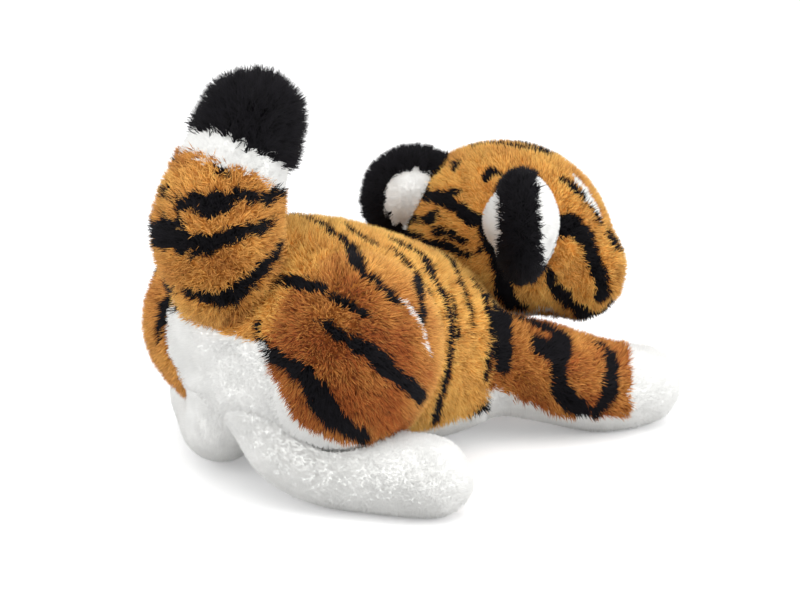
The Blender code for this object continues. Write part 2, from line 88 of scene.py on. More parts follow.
def splitRays(nodes, links, lighting, shown, end):
    # Camera, glossy and transmission rays see the second shader, and all other rays the first:
    # mask = the greatest of the three.
    rays = nodes.new("ShaderNodeLightPath")
    mask = rays.outputs["Is Camera Ray"]
    for name in ("Is Glossy Ray", "Is Transmission Ray"):
        most = nodes.new("ShaderNodeMath")
        most.operation = "MAXIMUM"
        links.new(mask, most.inputs[0])
        links.new(rays.outputs[name], most.inputs[1])
        mask = most.outputs[0]
    pick = nodes.new("ShaderNodeMixShader")
    links.new(mask, pick.inputs["Fac"])
    links.new(lighting.outputs[0], pick.inputs[1])
    links.new(shown.outputs[0], pick.inputs[2])
    links.new(pick.outputs[0], end.inputs["Surface"])


def makeSky():
    # White, a little stronger as light than it looks in the picture.
    world = bpy.data.worlds.new("studioWorld")
    bpy.context.scene.world = world
    world.use_nodes = True
    nodes, links = world.node_tree.nodes, world.node_tree.links
    light, shown = nodes["Background"], nodes.new("ShaderNodeBackground")
    for ground, strength in ((light, studio["sky"]), (shown, 1)):
        ground.inputs["Color"].default_value = (1, 1, 1, 1)
        ground.inputs["Strength"].default_value = strength
    splitRays(nodes, links, light, shown, nodes["World Output"])


def makeFloor():
    # White paper, with a glow that only shows in the picture.
    bpy.ops.mesh.primitive_plane_add(size=studio["floorWidth"])
    floor = bpy.context.object
    floor.name = "studioFloor"
    look = bpy.data.materials.new("floorPaper")
    look.use_nodes = True
    nodes, links = look.node_tree.nodes, look.node_tree.links
    nodes.remove(nodes["Principled BSDF"])
    paper = nodes.new("ShaderNodeBsdfDiffuse")
    paper.inputs["Color"].default_value = (*[studio["paper"]] * 3, 1)
    glow = nodes.new("ShaderNodeEmission")
    glow.inputs["Strength"].default_value = studio["floorGlow"]
    total = nodes.new("ShaderNodeAddShader")
    links.new(paper.outputs[0], total.inputs[0])
    links.new(glow.outputs[0], total.inputs[1])
    splitRays(nodes, links, paper, total, nodes["Material Output"])
    floor.data.materials.append(look)


def makeStudio():
    bpy.context.scene.view_settings.view_transform = "Standard"
    placeCamera()
    makeSky()
    for lamp in studio["lamps"]:
        addLamp(*lamp)
    makeFloor()
    print("studio made")


# Curves and forms. Dictionaries and tables are in millimetres, and points in metres.

def smoothRows(rows, count):
    # Catmull-Rom: half of 2b + (c-a)u + (2a-5b+4c-d)u2 + (3b-a-3c+d)u3.
    rows = np.array(rows, float)
    last = len(rows) - 1
    way = np.linspace(0, last, count)
    k = np.minimum(way.astype(int), last - 1)
    u = (way - k)[:, None]
    a, b = rows[np.maximum(k - 1, 0)], rows[k]
    c, d = rows[k + 1], rows[np.minimum(k + 2, last)]
    return (2 * b + (c - a) * u + (2 * a - 5 * b + 4 * c - d) * u ** 2
            + (3 * b - a - 3 * c + d) * u ** 3) / 2


def unit(ways):
    # Each row divided by its own length.
    return ways / np.maximum(np.linalg.norm(ways, axis=-1, keepdims=True), 1e-12)


def metres(sizes, side=1):
    # Millimetres of the left side as metres of the side asked for.
    return np.array(sizes) * (side, 1, 1) * mm


def turned(turn):
    # Rows times this matrix turn by the angle about the upright axis.
    c, s = math.cos(turn), math.sin(turn)
    return np.array([[c, s, 0], [-s, c, 0], [0, 0, 1]])


def tableAt(ways, table):
    # Straight lines between the table's pairs of way and height.
    pairs = np.array(table) * mm
    return np.interp(ways, pairs[:, 0], pairs[:, 1])


def loftRings(rows, upright, sides, sag=1.0, straight=None):
    # Point = middle + across * half width * cos + up * half height * sin. On the lower half,
    # cos and sin are taken to the power of sag.
    middles = rows[:, :3]
    ahead = unit(np.gradient(middles, axis=0)) if straight is None else np.tile(straight, (len(rows), 1))
    across = unit(np.cross(ahead, upright))
    up = np.cross(across, ahead)
    angle = np.linspace(0, 2 * np.pi, sides, endpoint=False)
    power = np.where(np.sin(angle) < 0, sag, 1.0)
    wide = np.sign(np.cos(angle)) * np.abs(np.cos(angle)) ** power
    high = np.sign(np.sin(angle)) * np.abs(np.sin(angle)) ** power
    return (middles[:, None] + across[:, None] * (rows[:, 3:4] * wide)[..., None]
            + up[:, None] * (rows[:, 4:5] * high)[..., None])


def shrink(rows, inset):
    # Half sizes less the inset, and never under half a millimetre.
    made = rows.copy()
    made[:, 3:5] = np.maximum(made[:, 3:5] - inset * mm, 0.5 * mm)
    return made


def ballRings(rings, sides):
    # Direction = (cos tilt cos angle, cos tilt sin angle, sin tilt), from the bottom ring to the top.
    tilt = (np.arange(rings) + 0.5) / rings * np.pi - np.pi / 2
    angle = np.linspace(0, 2 * np.pi, sides, endpoint=False)
    flat = np.cos(tilt)[:, None]
    return np.stack([flat * np.cos(angle), flat * np.sin(angle),
                     np.repeat(np.sin(tilt)[:, None], sides, 1)], -1)


def ballSkin(centre, radii, rings, sides):
    # Point = centre + direction * radii.
    return ballRings(rings, sides) * radii + centre


def reachOf(ways, shift, radii):
    # Far crossing of a ray with a shifted ball: (q.s + root((q.s)^2 - q.q * (s.s - 1))) / q.q.
    q, s = ways / radii, shift / radii
    along, square = (q * s).sum(-1), (q * q).sum(-1)
    inside = along ** 2 - square * (s @ s - 1)
    return np.where(inside > 0, (along + np.sqrt(np.maximum(inside, 0))) / square, 0)


def closeRings(rings):
    # Quads between rings and a fan to a middle point at each end, wound outwards.
    count, sides = rings.shape[:2]
    points = np.concatenate([rings.reshape(-1, 3), [rings[0].mean(0)], [rings[-1].mean(0)]])
    k = np.arange(count - 1)[:, None] * sides
    s = np.arange(sides)[None]
    n = (s + 1) % sides
    a, b, c, d = k + s, k + n, k + sides + n, k + sides + s
    tris = np.concatenate([np.stack([a, b, c], -1).reshape(-1, 3), np.stack([a, c, d], -1).reshape(-1, 3)])
    s, n = np.arange(sides), (np.arange(sides) + 1) % sides
    low = np.stack([np.full(sides, count * sides), n, s], -1)
    top = (count - 1) * sides
    high = np.stack([np.full(sides, count * sides + 1), top + s, top + n], -1)
    tris = np.concatenate([tris, low, high])
    p = points[tris]
    volume = np.einsum("ij,ij->i", p[:, 0], np.cross(p[:, 1], p[:, 2])).sum()
    return points, tris if volume > 0 else tris[:, ::-1]


# Fields: how far a point lies outside a form, negative inside.

def ballField(centre, radii, turn=0.0):
    # (|q / r| - 1) * smallest radius, in the ball's own turned axes.
    spin = turned(-turn)

    def field(p):
        return (np.linalg.norm((p - centre) @ spin / radii, axis=-1) - 1) * radii.min()
    return field


def lineField(rows):
    # Least over the axis's pieces of (|flat / half width, high / half height| - 1) * smaller half size.
    def field(p):
        best = np.full(len(p), 1e9)
        for a, b in zip(rows[:-1], rows[1:]):
            run = b[:3] - a[:3]
            t = np.clip((p - a[:3]) @ run / max(run @ run, 1e-12), 0, 1)
            gap = p - a[:3] - t[:, None] * run
            size = a[3:5] + t[:, None] * (b[3:5] - a[3:5])
            flat = np.hypot(gap[:, 0], gap[:, 1]) / size[:, 0]
            best = np.minimum(best, (np.hypot(flat, gap[:, 2] / size[:, 1]) - 1) * size.min(1))
        return best
    return field


def pushOut(points, field, gap):
    # Newton steps, slope * (gap - value) / |slope|^2, until the point lies the gap outside.
    rounds, step, leastSlope = 4, 0.2 * mm, 0.25
    for _ in range(rounds):
        value = field(points)
        slope = np.stack([field(points + step * axis) - value for axis in np.eye(3)], -1) / step
        size = np.maximum((slope ** 2).sum(-1), leastSlope)
        points = points + slope * (np.maximum(gap - value, 0) / size)[:, None]
    return points


def limbRows(limb, side):
    # Row = start + (end - start) * shares. Rows: way out, way forward, half width, half height, underside.
    (x0, y0), (x1, y1) = ((side * x, y) for x, y in (limb["start"], limb["end"]))
    rows = []
    for out, ahead, width, high, under in limb["rows"]:
        half = limb["height"] * high
        rows.append((x0 + (x1 - x0) * out, y0 + (y1 - y0) * ahead,
                     limb["height"] * under + half - limb["sunk"], limb["halfWidth"] * width, half))
    return smoothRows(rows, limb["sections"]) * mm


# Coats: 0 is orange, 1 black and 2 white. Each takes points and gives a coat for each.
# A ragged edge has a scale, a seed, the size of its waves and the size of its grain.

paint = {"edge": (9, 3, 0.7, 0.5), "stripeSpread": 1.7, "patchSpread": 0.8, "skinTip": 0.25}


def mirrorStripes(stripes):
    return [[(-x, y, z, w) for x, y, z, w in line] for line in stripes]


def wobble(points, scale, seed):
    # Smooth noise, mostly between -1 and 1: six sine waves in random directions, added and over 2.5.
    waves = np.random.default_rng(seed)
    ways = unit(waves.normal(size=(6, 3))) * 2 * np.pi / scale
    starts = waves.uniform(0, 2 * np.pi, 6)
    return np.sin(points @ ways.T + starts).sum(1) / 2.5


def raggedEdge(points, edge):
    # (noise * wave + a random number for each point * grain), in millimetres.
    scale, seed, wave, grain = edge
    return (wobble(points, scale * mm, seed) * wave + chance.normal(size=len(points)) * grain) * mm


def stripeReach(points, stripes):
    # Greatest over all pieces of half width less distance, so it is above 0 inside a stripe.
    best = np.full(len(points), -0.05)
    for line in stripes:
        line = np.array(line, float) * mm
        if len(line) > 2:
            line = smoothRows(line, len(line) * 2 - 1)
        for a, b in zip(line[:-1], line[1:]):
            run = b[:3] - a[:3]
            t = np.clip((points - a[:3]) @ run / max(run @ run, 1e-12), 0, 1)
            gap = np.linalg.norm(points - a[:3] - t[:, None] * run, axis=1)
            best = np.maximum(best, a[3] + t * (b[3] - a[3]) - gap)
    return best


def paintCoat(points, stripes, patches=()):
    # Black within the stripes' reach and its spread, white within the patches', and else orange.
    ragged = raggedEdge(points, paint["edge"])
    coat = np.where(stripeReach(points, stripes) + ragged > -paint["stripeSpread"] * mm, 1, 0)
    if len(patches):
        return np.where(stripeReach(points, patches) + ragged > -paint["patchSpread"] * mm, 2, coat)
    return coat


def whiteCoat(points):
    return np.full(len(points), 2)


# Root and tip colour of each coat. The last row is orange at its most golden. The roots, far darker than the
# tips on the orange, are partly the pile's own deeper rust and partly painted shade deep in the pile.
pelt = {
    "roots": np.array([(0.08, 0.015, 0.003), (0.0015, 0.0012, 0.002), (0.87, 0.87, 0.85),
                       (0.66, 0.25, 0.034)]),
    "tips": np.array([(0.52, 0.135, 0.027), (0.005, 0.004, 0.007), (0.88, 0.88, 0.86), (1.0, 0.585, 0.16)]),
    "shadeScale": 70, "shadeDetail": 4, "shade": (0.93, 1.05), "specular": 0.14, "rise": 1.4,
    "pileRoughness": 0.65, "pileSheen": 0.02, "backingRoughness": 0.95,
}


def coatColours(kinds, gold, table):
    # Orange is rust + (golden - rust) * gold, and the other coats are as the table says. Gold is partly the
    # orange's own tone and partly painted light, set higher on parts that show lit and lower on parts that show
    # shaded.
    mixed = table[0] + (table[3] - table[0]) * gold[:, None]
    return np.where((kinds == 0)[:, None], mixed, table[kinds])


def goldAt(gold, points):
    return gold(points) if callable(gold) else np.full(len(points), float(gold))


# Materials

def startLook(name, roughness):
    look = bpy.data.materials.new(name)
    look.use_nodes = True
    shader = look.node_tree.nodes["Principled BSDF"]
    shader.inputs["Roughness"].default_value = roughness
    return look, look.node_tree.nodes, look.node_tree.links, shader


def addNoise(nodes, links, scale, detail):
    place, noise = nodes.new("ShaderNodeTexCoord"), nodes.new("ShaderNodeTexNoise")
    noise.inputs["Scale"].default_value = scale
    noise.inputs["Detail"].default_value = detail
    links.new(place.outputs["Object"], noise.inputs["Vector"])
    return noise.outputs["Fac"]


def addRamp(nodes, bands):
    ramp = nodes.new("ShaderNodeValToRGB")
    while len(ramp.color_ramp.elements) < len(bands):
        ramp.color_ramp.elements.new(0.5)
    for mark, (way, colour) in zip(ramp.color_ramp.elements, bands):
        mark.position = way
        mark.color = (*colour, 1)
    return ramp


def addMix(nodes):
    mix = nodes.new("ShaderNodeMix")
    mix.data_type = "RGBA"
    return mix


def makeShadeGroup():
    # Colour times a brightness that follows one noise, from the first of "shade" to the second.
    group = bpy.data.node_groups.new("peltShade", "ShaderNodeTree")
    for way in ("INPUT", "OUTPUT"):
        group.interface.new_socket("Colour", in_out=way, socket_type="NodeSocketColor")
    nodes, links = group.nodes, group.links
    start, end = nodes.new("NodeGroupInput"), nodes.new("NodeGroupOutput")
    spread = nodes.new("ShaderNodeMapRange")
    for name, value in zip(("From Min", "From Max", "To Min", "To Max"), (0.3, 0.7, *pelt["shade"])):
        spread.inputs[name].default_value = value
    tint = addMix(nodes)
    tint.blend_type = "MULTIPLY"
    tint.inputs["Factor"].default_value = 1
    links.new(addNoise(nodes, links, pelt["shadeScale"], pelt["shadeDetail"]), spread.inputs["Value"])
    links.new(start.outputs["Colour"], tint.inputs[6])
    links.new(spread.outputs["Result"], tint.inputs[7])
    links.new(tint.outputs[2], end.inputs["Colour"])
    return group


def peltMaterial(name, roughness, sheen, hasPile):
    # Colour = root + (tip - root) * rise to a power, where rise is 0 at the root and 1 at the tip. The dark
    # root end is painted shade deep in the pile as well as the pile's own deeper tone.
    look, nodes, links, shader = startLook(name, roughness)
    shader.inputs["Sheen Weight"].default_value = sheen
    shader.inputs["Specular IOR Level"].default_value = pelt["specular"]
    coat = nodes.new("ShaderNodeAttribute")
    coat.attribute_name = "pelt"
    shade = nodes.new("ShaderNodeGroup")
    shade.node_tree = shadeGroup
    colour = coat.outputs["Color"]
    if hasPile:
        root, rise = nodes.new("ShaderNodeAttribute"), nodes.new("ShaderNodeAttribute")
        root.attribute_name, rise.attribute_name = "root", "rise"
        bend = nodes.new("ShaderNodeMath")
        bend.operation = "POWER"
        bend.inputs[1].default_value = pelt["rise"]
        mix = addMix(nodes)
        links.new(rise.outputs["Fac"], bend.inputs[0])
        links.new(bend.outputs[0], mix.inputs["Factor"])
        links.new(root.outputs["Color"], mix.inputs[6])
        links.new(colour, mix.inputs[7])
        colour = mix.outputs[2]
    links.new(colour, shade.inputs["Colour"])
    links.new(shade.outputs["Colour"], shader.inputs["Base Color"])
    return look


shadeGroup = makeShadeGroup()
pileLook = peltMaterial("plushPile", pelt["pileRoughness"], pelt["pileSheen"], True)
backingLook = peltMaterial("plushBacking", pelt["backingRoughness"], 0.0, False)


# Meshes

def addColours(mesh, name, colours):
    layer = mesh.attributes.new(name, "FLOAT_COLOR", "POINT")
    whole = np.column_stack([colours, np.ones(len(colours))])
    layer.data.foreach_set("color", whole.astype(np.float32).ravel())


def addMesh(name, points, tris, colours, look):
    mesh = bpy.data.meshes.new(name)
    mesh.vertices.add(len(points))
    mesh.vertices.foreach_set("co", points.astype(np.float32).ravel())
    mesh.loops.add(len(tris) * 3)
    mesh.loops.foreach_set("vertex_index", tris.astype(np.int32).ravel())
    mesh.polygons.add(len(tris))
    mesh.polygons.foreach_set("loop_start", np.arange(0, len(tris) * 3, 3, dtype=np.int32))
    mesh.update(calc_edges=True)
    mesh.validate()
    addColours(mesh, "pelt", colours)
    mesh.materials.append(look)
    made = bpy.data.objects.new(name, mesh)
    bpy.context.scene.collection.objects.link(made)
    return made


def readMesh(mesh):
    mesh.calc_loop_triangles()
    points = np.empty(len(mesh.vertices) * 3, np.float32)
    tris = np.empty(len(mesh.loop_triangles) * 3, np.int32)
    mesh.vertices.foreach_get("co", points)
    mesh.loop_triangles.foreach_get("vertices", tris)
    return points.reshape(-1, 3).astype(float), tris.reshape(-1, 3)


def vertexNormals(points, tris):
    # The sum of the normals of the triangles at each point, made one long.
    corners = points[tris]
    faces = np.cross(corners[:, 1] - corners[:, 0], corners[:, 2] - corners[:, 0])
    total = np.zeros_like(points)
    for k in range(3):
        np.add.at(total, tris[:, k], faces)
    return unit(total)


# Cloth skins. A crease beside a neighbour is filled over this reach, in millimetres.

creases = {"head": 18, "limb": 16, "thigh": 26, "tail": 14, "foot": 10}
# Voxels, cap and reach of the seams in millimetres, and frames for the simulation.
cloth = {"voxel": 5, "pressure": 400, "stretch": 1, "frames": 20, "cap": 1.6, "sewnReach": 4, "floor": 0.6}


def swell(points, tris, neighbours):
    # Along the normal, the greatest of reach / 4 * (1 - gap / reach)^2.
    rise = np.zeros(len(points))
    for field, reach in neighbours:
        near = 1 - np.minimum(np.abs(field(points)) / (reach * mm), 1)
        rise = np.maximum(rise, reach * mm / 4 * near ** 2)
    return points + vertexNormals(points, tris) * rise[:, None]


def evaluated(thing):
    return thing.evaluated_get(bpy.context.evaluated_depsgraph_get())


def puffCloth(points, tris, sewnTo):
    # Points sewn to a neighbour are held, and pressure moves the rest out.
    # Move = simulated move * least of 1 and cap / its length.
    scene = bpy.context.scene
    mesh = bpy.data.meshes.new("cutCloth")
    mesh.from_pydata(points.tolist(), [], tris.tolist())
    sheet = bpy.data.objects.new("cutCloth", mesh)
    scene.collection.objects.link(sheet)
    voxels = sheet.modifiers.new("voxels", "REMESH")
    voxels.mode = "VOXEL"
    voxels.voxel_size = cloth["voxel"] * mm
    sheet.data = bpy.data.meshes.new_from_object(evaluated(sheet))
    sheet.modifiers.clear()
    rest, _ = readMesh(sheet.data)
    sewn = np.zeros(len(rest), bool)
    for field in sewnTo:
        sewn |= np.abs(field(rest)) < cloth["sewnReach"] * mm
    sheet.vertex_groups.new(name="sewn").add(np.flatnonzero(sewn).tolist(), 1, "REPLACE")
    puff = sheet.modifiers.new("puff", "CLOTH")
    puff.settings.vertex_group_mass = "sewn"
    puff.settings.tension_stiffness = puff.settings.compression_stiffness = cloth["stretch"]
    puff.settings.use_pressure = True
    puff.settings.uniform_pressure_force = cloth["pressure"]
    puff.settings.effector_weights.gravity = 0
    puff.point_cache.frame_end = cloth["frames"]
    for step in range(1, cloth["frames"] + 1):
        scene.frame_set(step)
    move = readMesh(evaluated(sheet).data)[0] - rest
    size = np.maximum(np.linalg.norm(move, axis=1, keepdims=True), 1e-9)
    print("cloth", len(rest), "points", sewn.sum(), "sewn, mean move", round(size.mean() / mm, 2), "mm")
    rest += move * np.minimum(1, cloth["cap"] * mm / size)
    sheet.modifiers.clear()
    sheet.data.vertices.foreach_set("co", rest.astype(np.float32).ravel())
    sheet.data.update()
    finer = sheet.modifiers.new("finer", "SUBSURF")
    finer.levels = finer.render_levels = 1
    made = readMesh(evaluated(sheet).data)
    bpy.data.objects.remove(sheet)
    scene.frame_set(1)
    return made


def makeSkin(name, rings, coat, gold, clearOf, beside):
    # Colour = root + (tip - root) * share of the tip, so the backing is mostly the dark root colour: painted
    # shade under the pile.
    points, tris = closeRings(rings)
    points, tris = puffCloth(points, tris, [field for field, _ in [*clearOf, *beside]])
    points = swell(points, tris, beside)
    for field, gap in clearOf:
        points = pushOut(points, field, gap * mm)
    points[:, 2] = np.maximum(points[:, 2], cloth["floor"] * mm)
    kinds, golden, share = coat(points), goldAt(gold, points), paint["skinTip"]
    colours = (coatColours(kinds, golden, pelt["roots"]) * (1 - share)
               + coatColours(kinds, golden, pelt["tips"]) * share)
    made = addMesh(name, points, tris, colours, backingLook)
    made.data.shade_smooth()
    return made, points, tris


# Strands. Lengths are in millimetres, one for each coat, as are calm, rough and bright, and density is
# strands to a square millimetre. Lean is along the comb, clump along a noise of the tuft's scale and
# stray random, as shares of the outward way. Sweep is how far the coat's colours are pulled along.

fur = {
    "length": (6, 6.2, 3.4), "shortest": 0.7, "vary": 0.45, "width": 0.455, "thin": 0.75, "thicker": 0.5,
    "tuft": 12, "clump": 0.2, "stray": 0.2, "lean": 0.34, "calm": (1, 1, 0.15), "leastRise": 0.35,
    "sweep": 4.5, "rootDepth": 0.4, "rootFloor": 0.5, "tipFloor": 0.4, "soleHeight": 1.5, "soleFacing": -0.7,
    "goldScale": 30, "goldVary": 0.15, "bright": (0.22, 0.3, 0.03), "palest": 0.98, "rough": (1, 1, 0.2),
    "normalOut": 0.75, "normalRound": 0.5, "normalAlong": 0.25, "inset": 2.6, "perObject": 49000,
    "grow": None,
}


def combAlong(direction):
    # Direction less its outward part, so it fades where the surface faces that way.
    direction = unit(np.array(direction, float))
    return lambda roots, out: direction - (out @ direction)[:, None] * out


def combAway(place):
    # From the place to each root, made one long.
    return lambda roots, out: unit(roots - place)


def combUp(roots, out):
    # Upwards less its outward part, made one long.
    return unit(upwards - (out @ upwards)[:, None] * out)


def strandCells(count):
    # One square cell of the unit square for each strand: roots along its foot, tip at its head.
    across = math.ceil(math.sqrt(count))
    cell = np.stack([np.arange(count) % across, np.arange(count) // across], -1) / across
    corners = np.array([(0.15, 0.12), (0.85, 0.12), (0.5, 0.3), (0.5, 0.9)]) / across
    return cell[:, None] + corners[None]


def scatterRoots(points, tris, density, hidden):
    # Triangles are picked by area, and a root has shares 1 - u, u (1 - v) and u v of the corners,
    # where u is the root of a random number. The roots run from front to back.
    normals = vertexNormals(points, tris)
    corners = points[tris]
    sizes = np.linalg.norm(np.cross(corners[:, 1] - corners[:, 0], corners[:, 2] - corners[:, 0]), axis=1) / 2
    count = int(sizes.sum() / mm ** 2 * density)
    pick = np.searchsorted(np.cumsum(sizes) / sizes.sum(), chance.random(count))
    pick = np.minimum(pick, len(tris) - 1)
    u, v = np.sqrt(chance.random(count)), chance.random(count)
    shares = np.stack([1 - u, u * (1 - v), u * v], -1)
    roots = (corners[pick] * shares[..., None]).sum(1)
    out = unit((normals[tris[pick]] * shares[..., None]).sum(1))
    keep = ~((roots[:, 2] < fur["soleHeight"] * mm) & (out[:, 2] < fur["soleFacing"]))
    for field, gap in hidden:
        keep &= field(roots) > gap * mm
    order = np.argsort(roots[keep][:, 1])
    return roots[keep][order], out[keep][order]


def growFur(name, points, tris, coat, gold, options, hidden):
    # Each strand is a closed three-sided spike: three root points and a tip.
    # Way = out + (lean * comb + clump * noise) * calm + stray * random * calm, made one long.
    # The strands are shared out, from front to back, among objects of a size that exports whole.
    roots, out = scatterRoots(points, tris, options["density"], hidden)
    made = len(roots)
    tuft = np.stack([wobble(roots, options["tuft"] * mm, seed) for seed in (21, 22, 23)], -1)
    stray = chance.normal(size=roots.shape)
    bend = options["comb"](roots, out) * options["lean"] + tuft * options["clump"]
    kinds = coat(roots + (bend - out * (bend * out).sum(1, keepdims=True)) * options["sweep"] * mm)
    length, calm, rough, bright = (np.array(options[k])[kinds] for k in ("length", "calm", "rough", "bright"))
    length = length * mm * (options["shortest"] + options["vary"] * chance.random(made))
    if options["grow"]:
        length = length * options["grow"](roots)
    way = unit(out + (bend + stray * options["stray"]) * calm[:, None])
    rise = np.einsum("ij,ij->i", way, out)
    way = unit(way + out * np.maximum(options["leastRise"] - rise, 0)[:, None])
    tips = roots + way * length[:, None]
    tips[:, 2] = np.maximum(tips[:, 2], options["tipFloor"] * mm)
    aside = unit(np.cross(way, chance.normal(size=roots.shape)))
    other = np.cross(way, aside)
    width = options["width"] * mm * (options["thin"] + options["thicker"] * chance.random(made))[:, None]
    start = roots - out * options["rootDepth"] * mm
    start[:, 2] = np.maximum(start[:, 2], options["rootFloor"] * mm)
    spread = np.stack([aside * math.cos(a) + other * math.sin(a) for a in np.array([0, 2, 4]) * np.pi / 3], 1)
    strand = np.concatenate([start[:, None] + spread * width[:, None], tips[:, None]], 1)
    golden = goldAt(gold, roots) + wobble(roots, options["goldScale"] * mm, 9) * options["goldVary"]
    golden = np.clip(golden + chance.normal(size=made) * options["goldVary"], 0, 1)
    bright = (1 + bright * chance.uniform(-1, 1, made))[:, None]
    # Roots darker than tips: painted shade deep in the pile as well as the pile's own tone.
    rootColour = coatColours(kinds, golden, pelt["roots"]) * bright
    tipColour = np.minimum(coatColours(kinds, golden, pelt["tips"]) * bright, options["palest"])
    spread = np.concatenate([spread, np.zeros((made, 1, 3))], 1)
    sideways = spread * options["normalRound"] + way[:, None] * options["normalAlong"]
    soft = unit(out[:, None] * options["normalOut"] + sideways * rough[:, None, None])
    print(name, made, "strands")
    shares = np.array_split(np.arange(made), math.ceil(made / options["perObject"]))
    return [strandMesh(f"{name}{k + 1}", strand[pick], rootColour[pick], tipColour[pick], soft[pick])
            for k, pick in enumerate(shares)]


def strandMesh(name, strand, rootColour, tipColour, soft):
    # Four points and four triangles for each strand, with both its colours and its own cell of the map.
    made = len(strand)
    base = np.arange(made)[:, None, None] * 4
    corners = np.array([(0, 2, 1), (0, 1, 3), (1, 2, 3), (2, 0, 3)])
    faces = (base + corners[None]).reshape(-1, 3)
    fur = addMesh(name, strand.reshape(-1, 3), faces, np.repeat(tipColour, 4, 0), pileLook)
    addColours(fur.data, "root", np.repeat(rootColour, 4, 0))
    rise = fur.data.attributes.new("rise", "FLOAT", "POINT")
    rise.data.foreach_set("value", np.tile([0, 0, 0, 1], made).astype(np.float32))
    fur.data.shade_smooth()
    fur.data.normals_split_custom_set_from_vertices(soft.reshape(-1, 3).tolist())
    layer = fur.data.uv_layers.new(name="OFBake")
    layer.data.foreach_set("uv", strandCells(made)[:, corners.ravel()].astype(np.float32).ravel())
    return fur


def makePiece(name, piece, rings, coat, comb, nodes, hidden, clearOf=(), beside=(), golds=(0, 0)):
    # A skin in place of these nodes and the strands on it. Lists are of fields and millimetres:
    # hidden is where no strand grows, and golds are the skin's and the strands'.
    skin, points, tris = makeSkin(f"{name}Skin", rings, coat, golds[0], clearOf, beside)
    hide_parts(*nodes)
    options = {**fur, **piece["fur"], "comb": comb}
    return [skin, *growFur(f"{name}Fur", points, tris, coat, golds[1], options, hidden)]


def joinPieces(pieces, body, child=None, start=None, end=None):
    # Pieces without a child ride on the body; with a child, each piece's transform is baked into its mesh, and
    # start and end are not used.
    for piece in pieces:
        if child is None:
            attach(piece, body)
        else:
            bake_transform(piece)
            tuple(start)
            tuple(end)


# Skins keep this clear of a neighbour, and strands grow to this far inside one, in millimetres.
skinClear, furUnder = 1, -4


# Torso. Rows: way along, underside, back line, half width. Seam: way along, height of the belly's edge.

torso = {
    "rows": [(-41, 50.4, 58, 4.1), (-32.8, 25.8, 85.3, 31.3), (-18, 6, 106.3, 46.9), (0, 0, 119.1, 58),
             (35.8, 6, 136, 66), (80.6, 20, 153.8, 68), (130.7, 33, 161, 66), (166.5, 52, 136, 42.2),
             (179, 88.6, 96.6, 4.1)],
    # Golds set high partly as painted light, for the flank that shows lit.
    "sag": 0.76, "sections": 61, "sides": 96, "comb": (0, 0.8, -0.6), "golds": (0.95, 0.95),
    "seam": [(-41, 32), (0, 27.4), (60.9, 27.4), (89.5, 48.3), (111, 96.6), (179, 109.5)],
    "edge": (12, 8, 0.8, 0.5), "neckFur": 1.5, "fur": {"density": 1.35},
}
torsoRows = smoothRows([(0, y, (low + high) / 2, half, (high - low) / 2)
                        for y, low, high, half in torso["rows"]], torso["sections"]) * mm

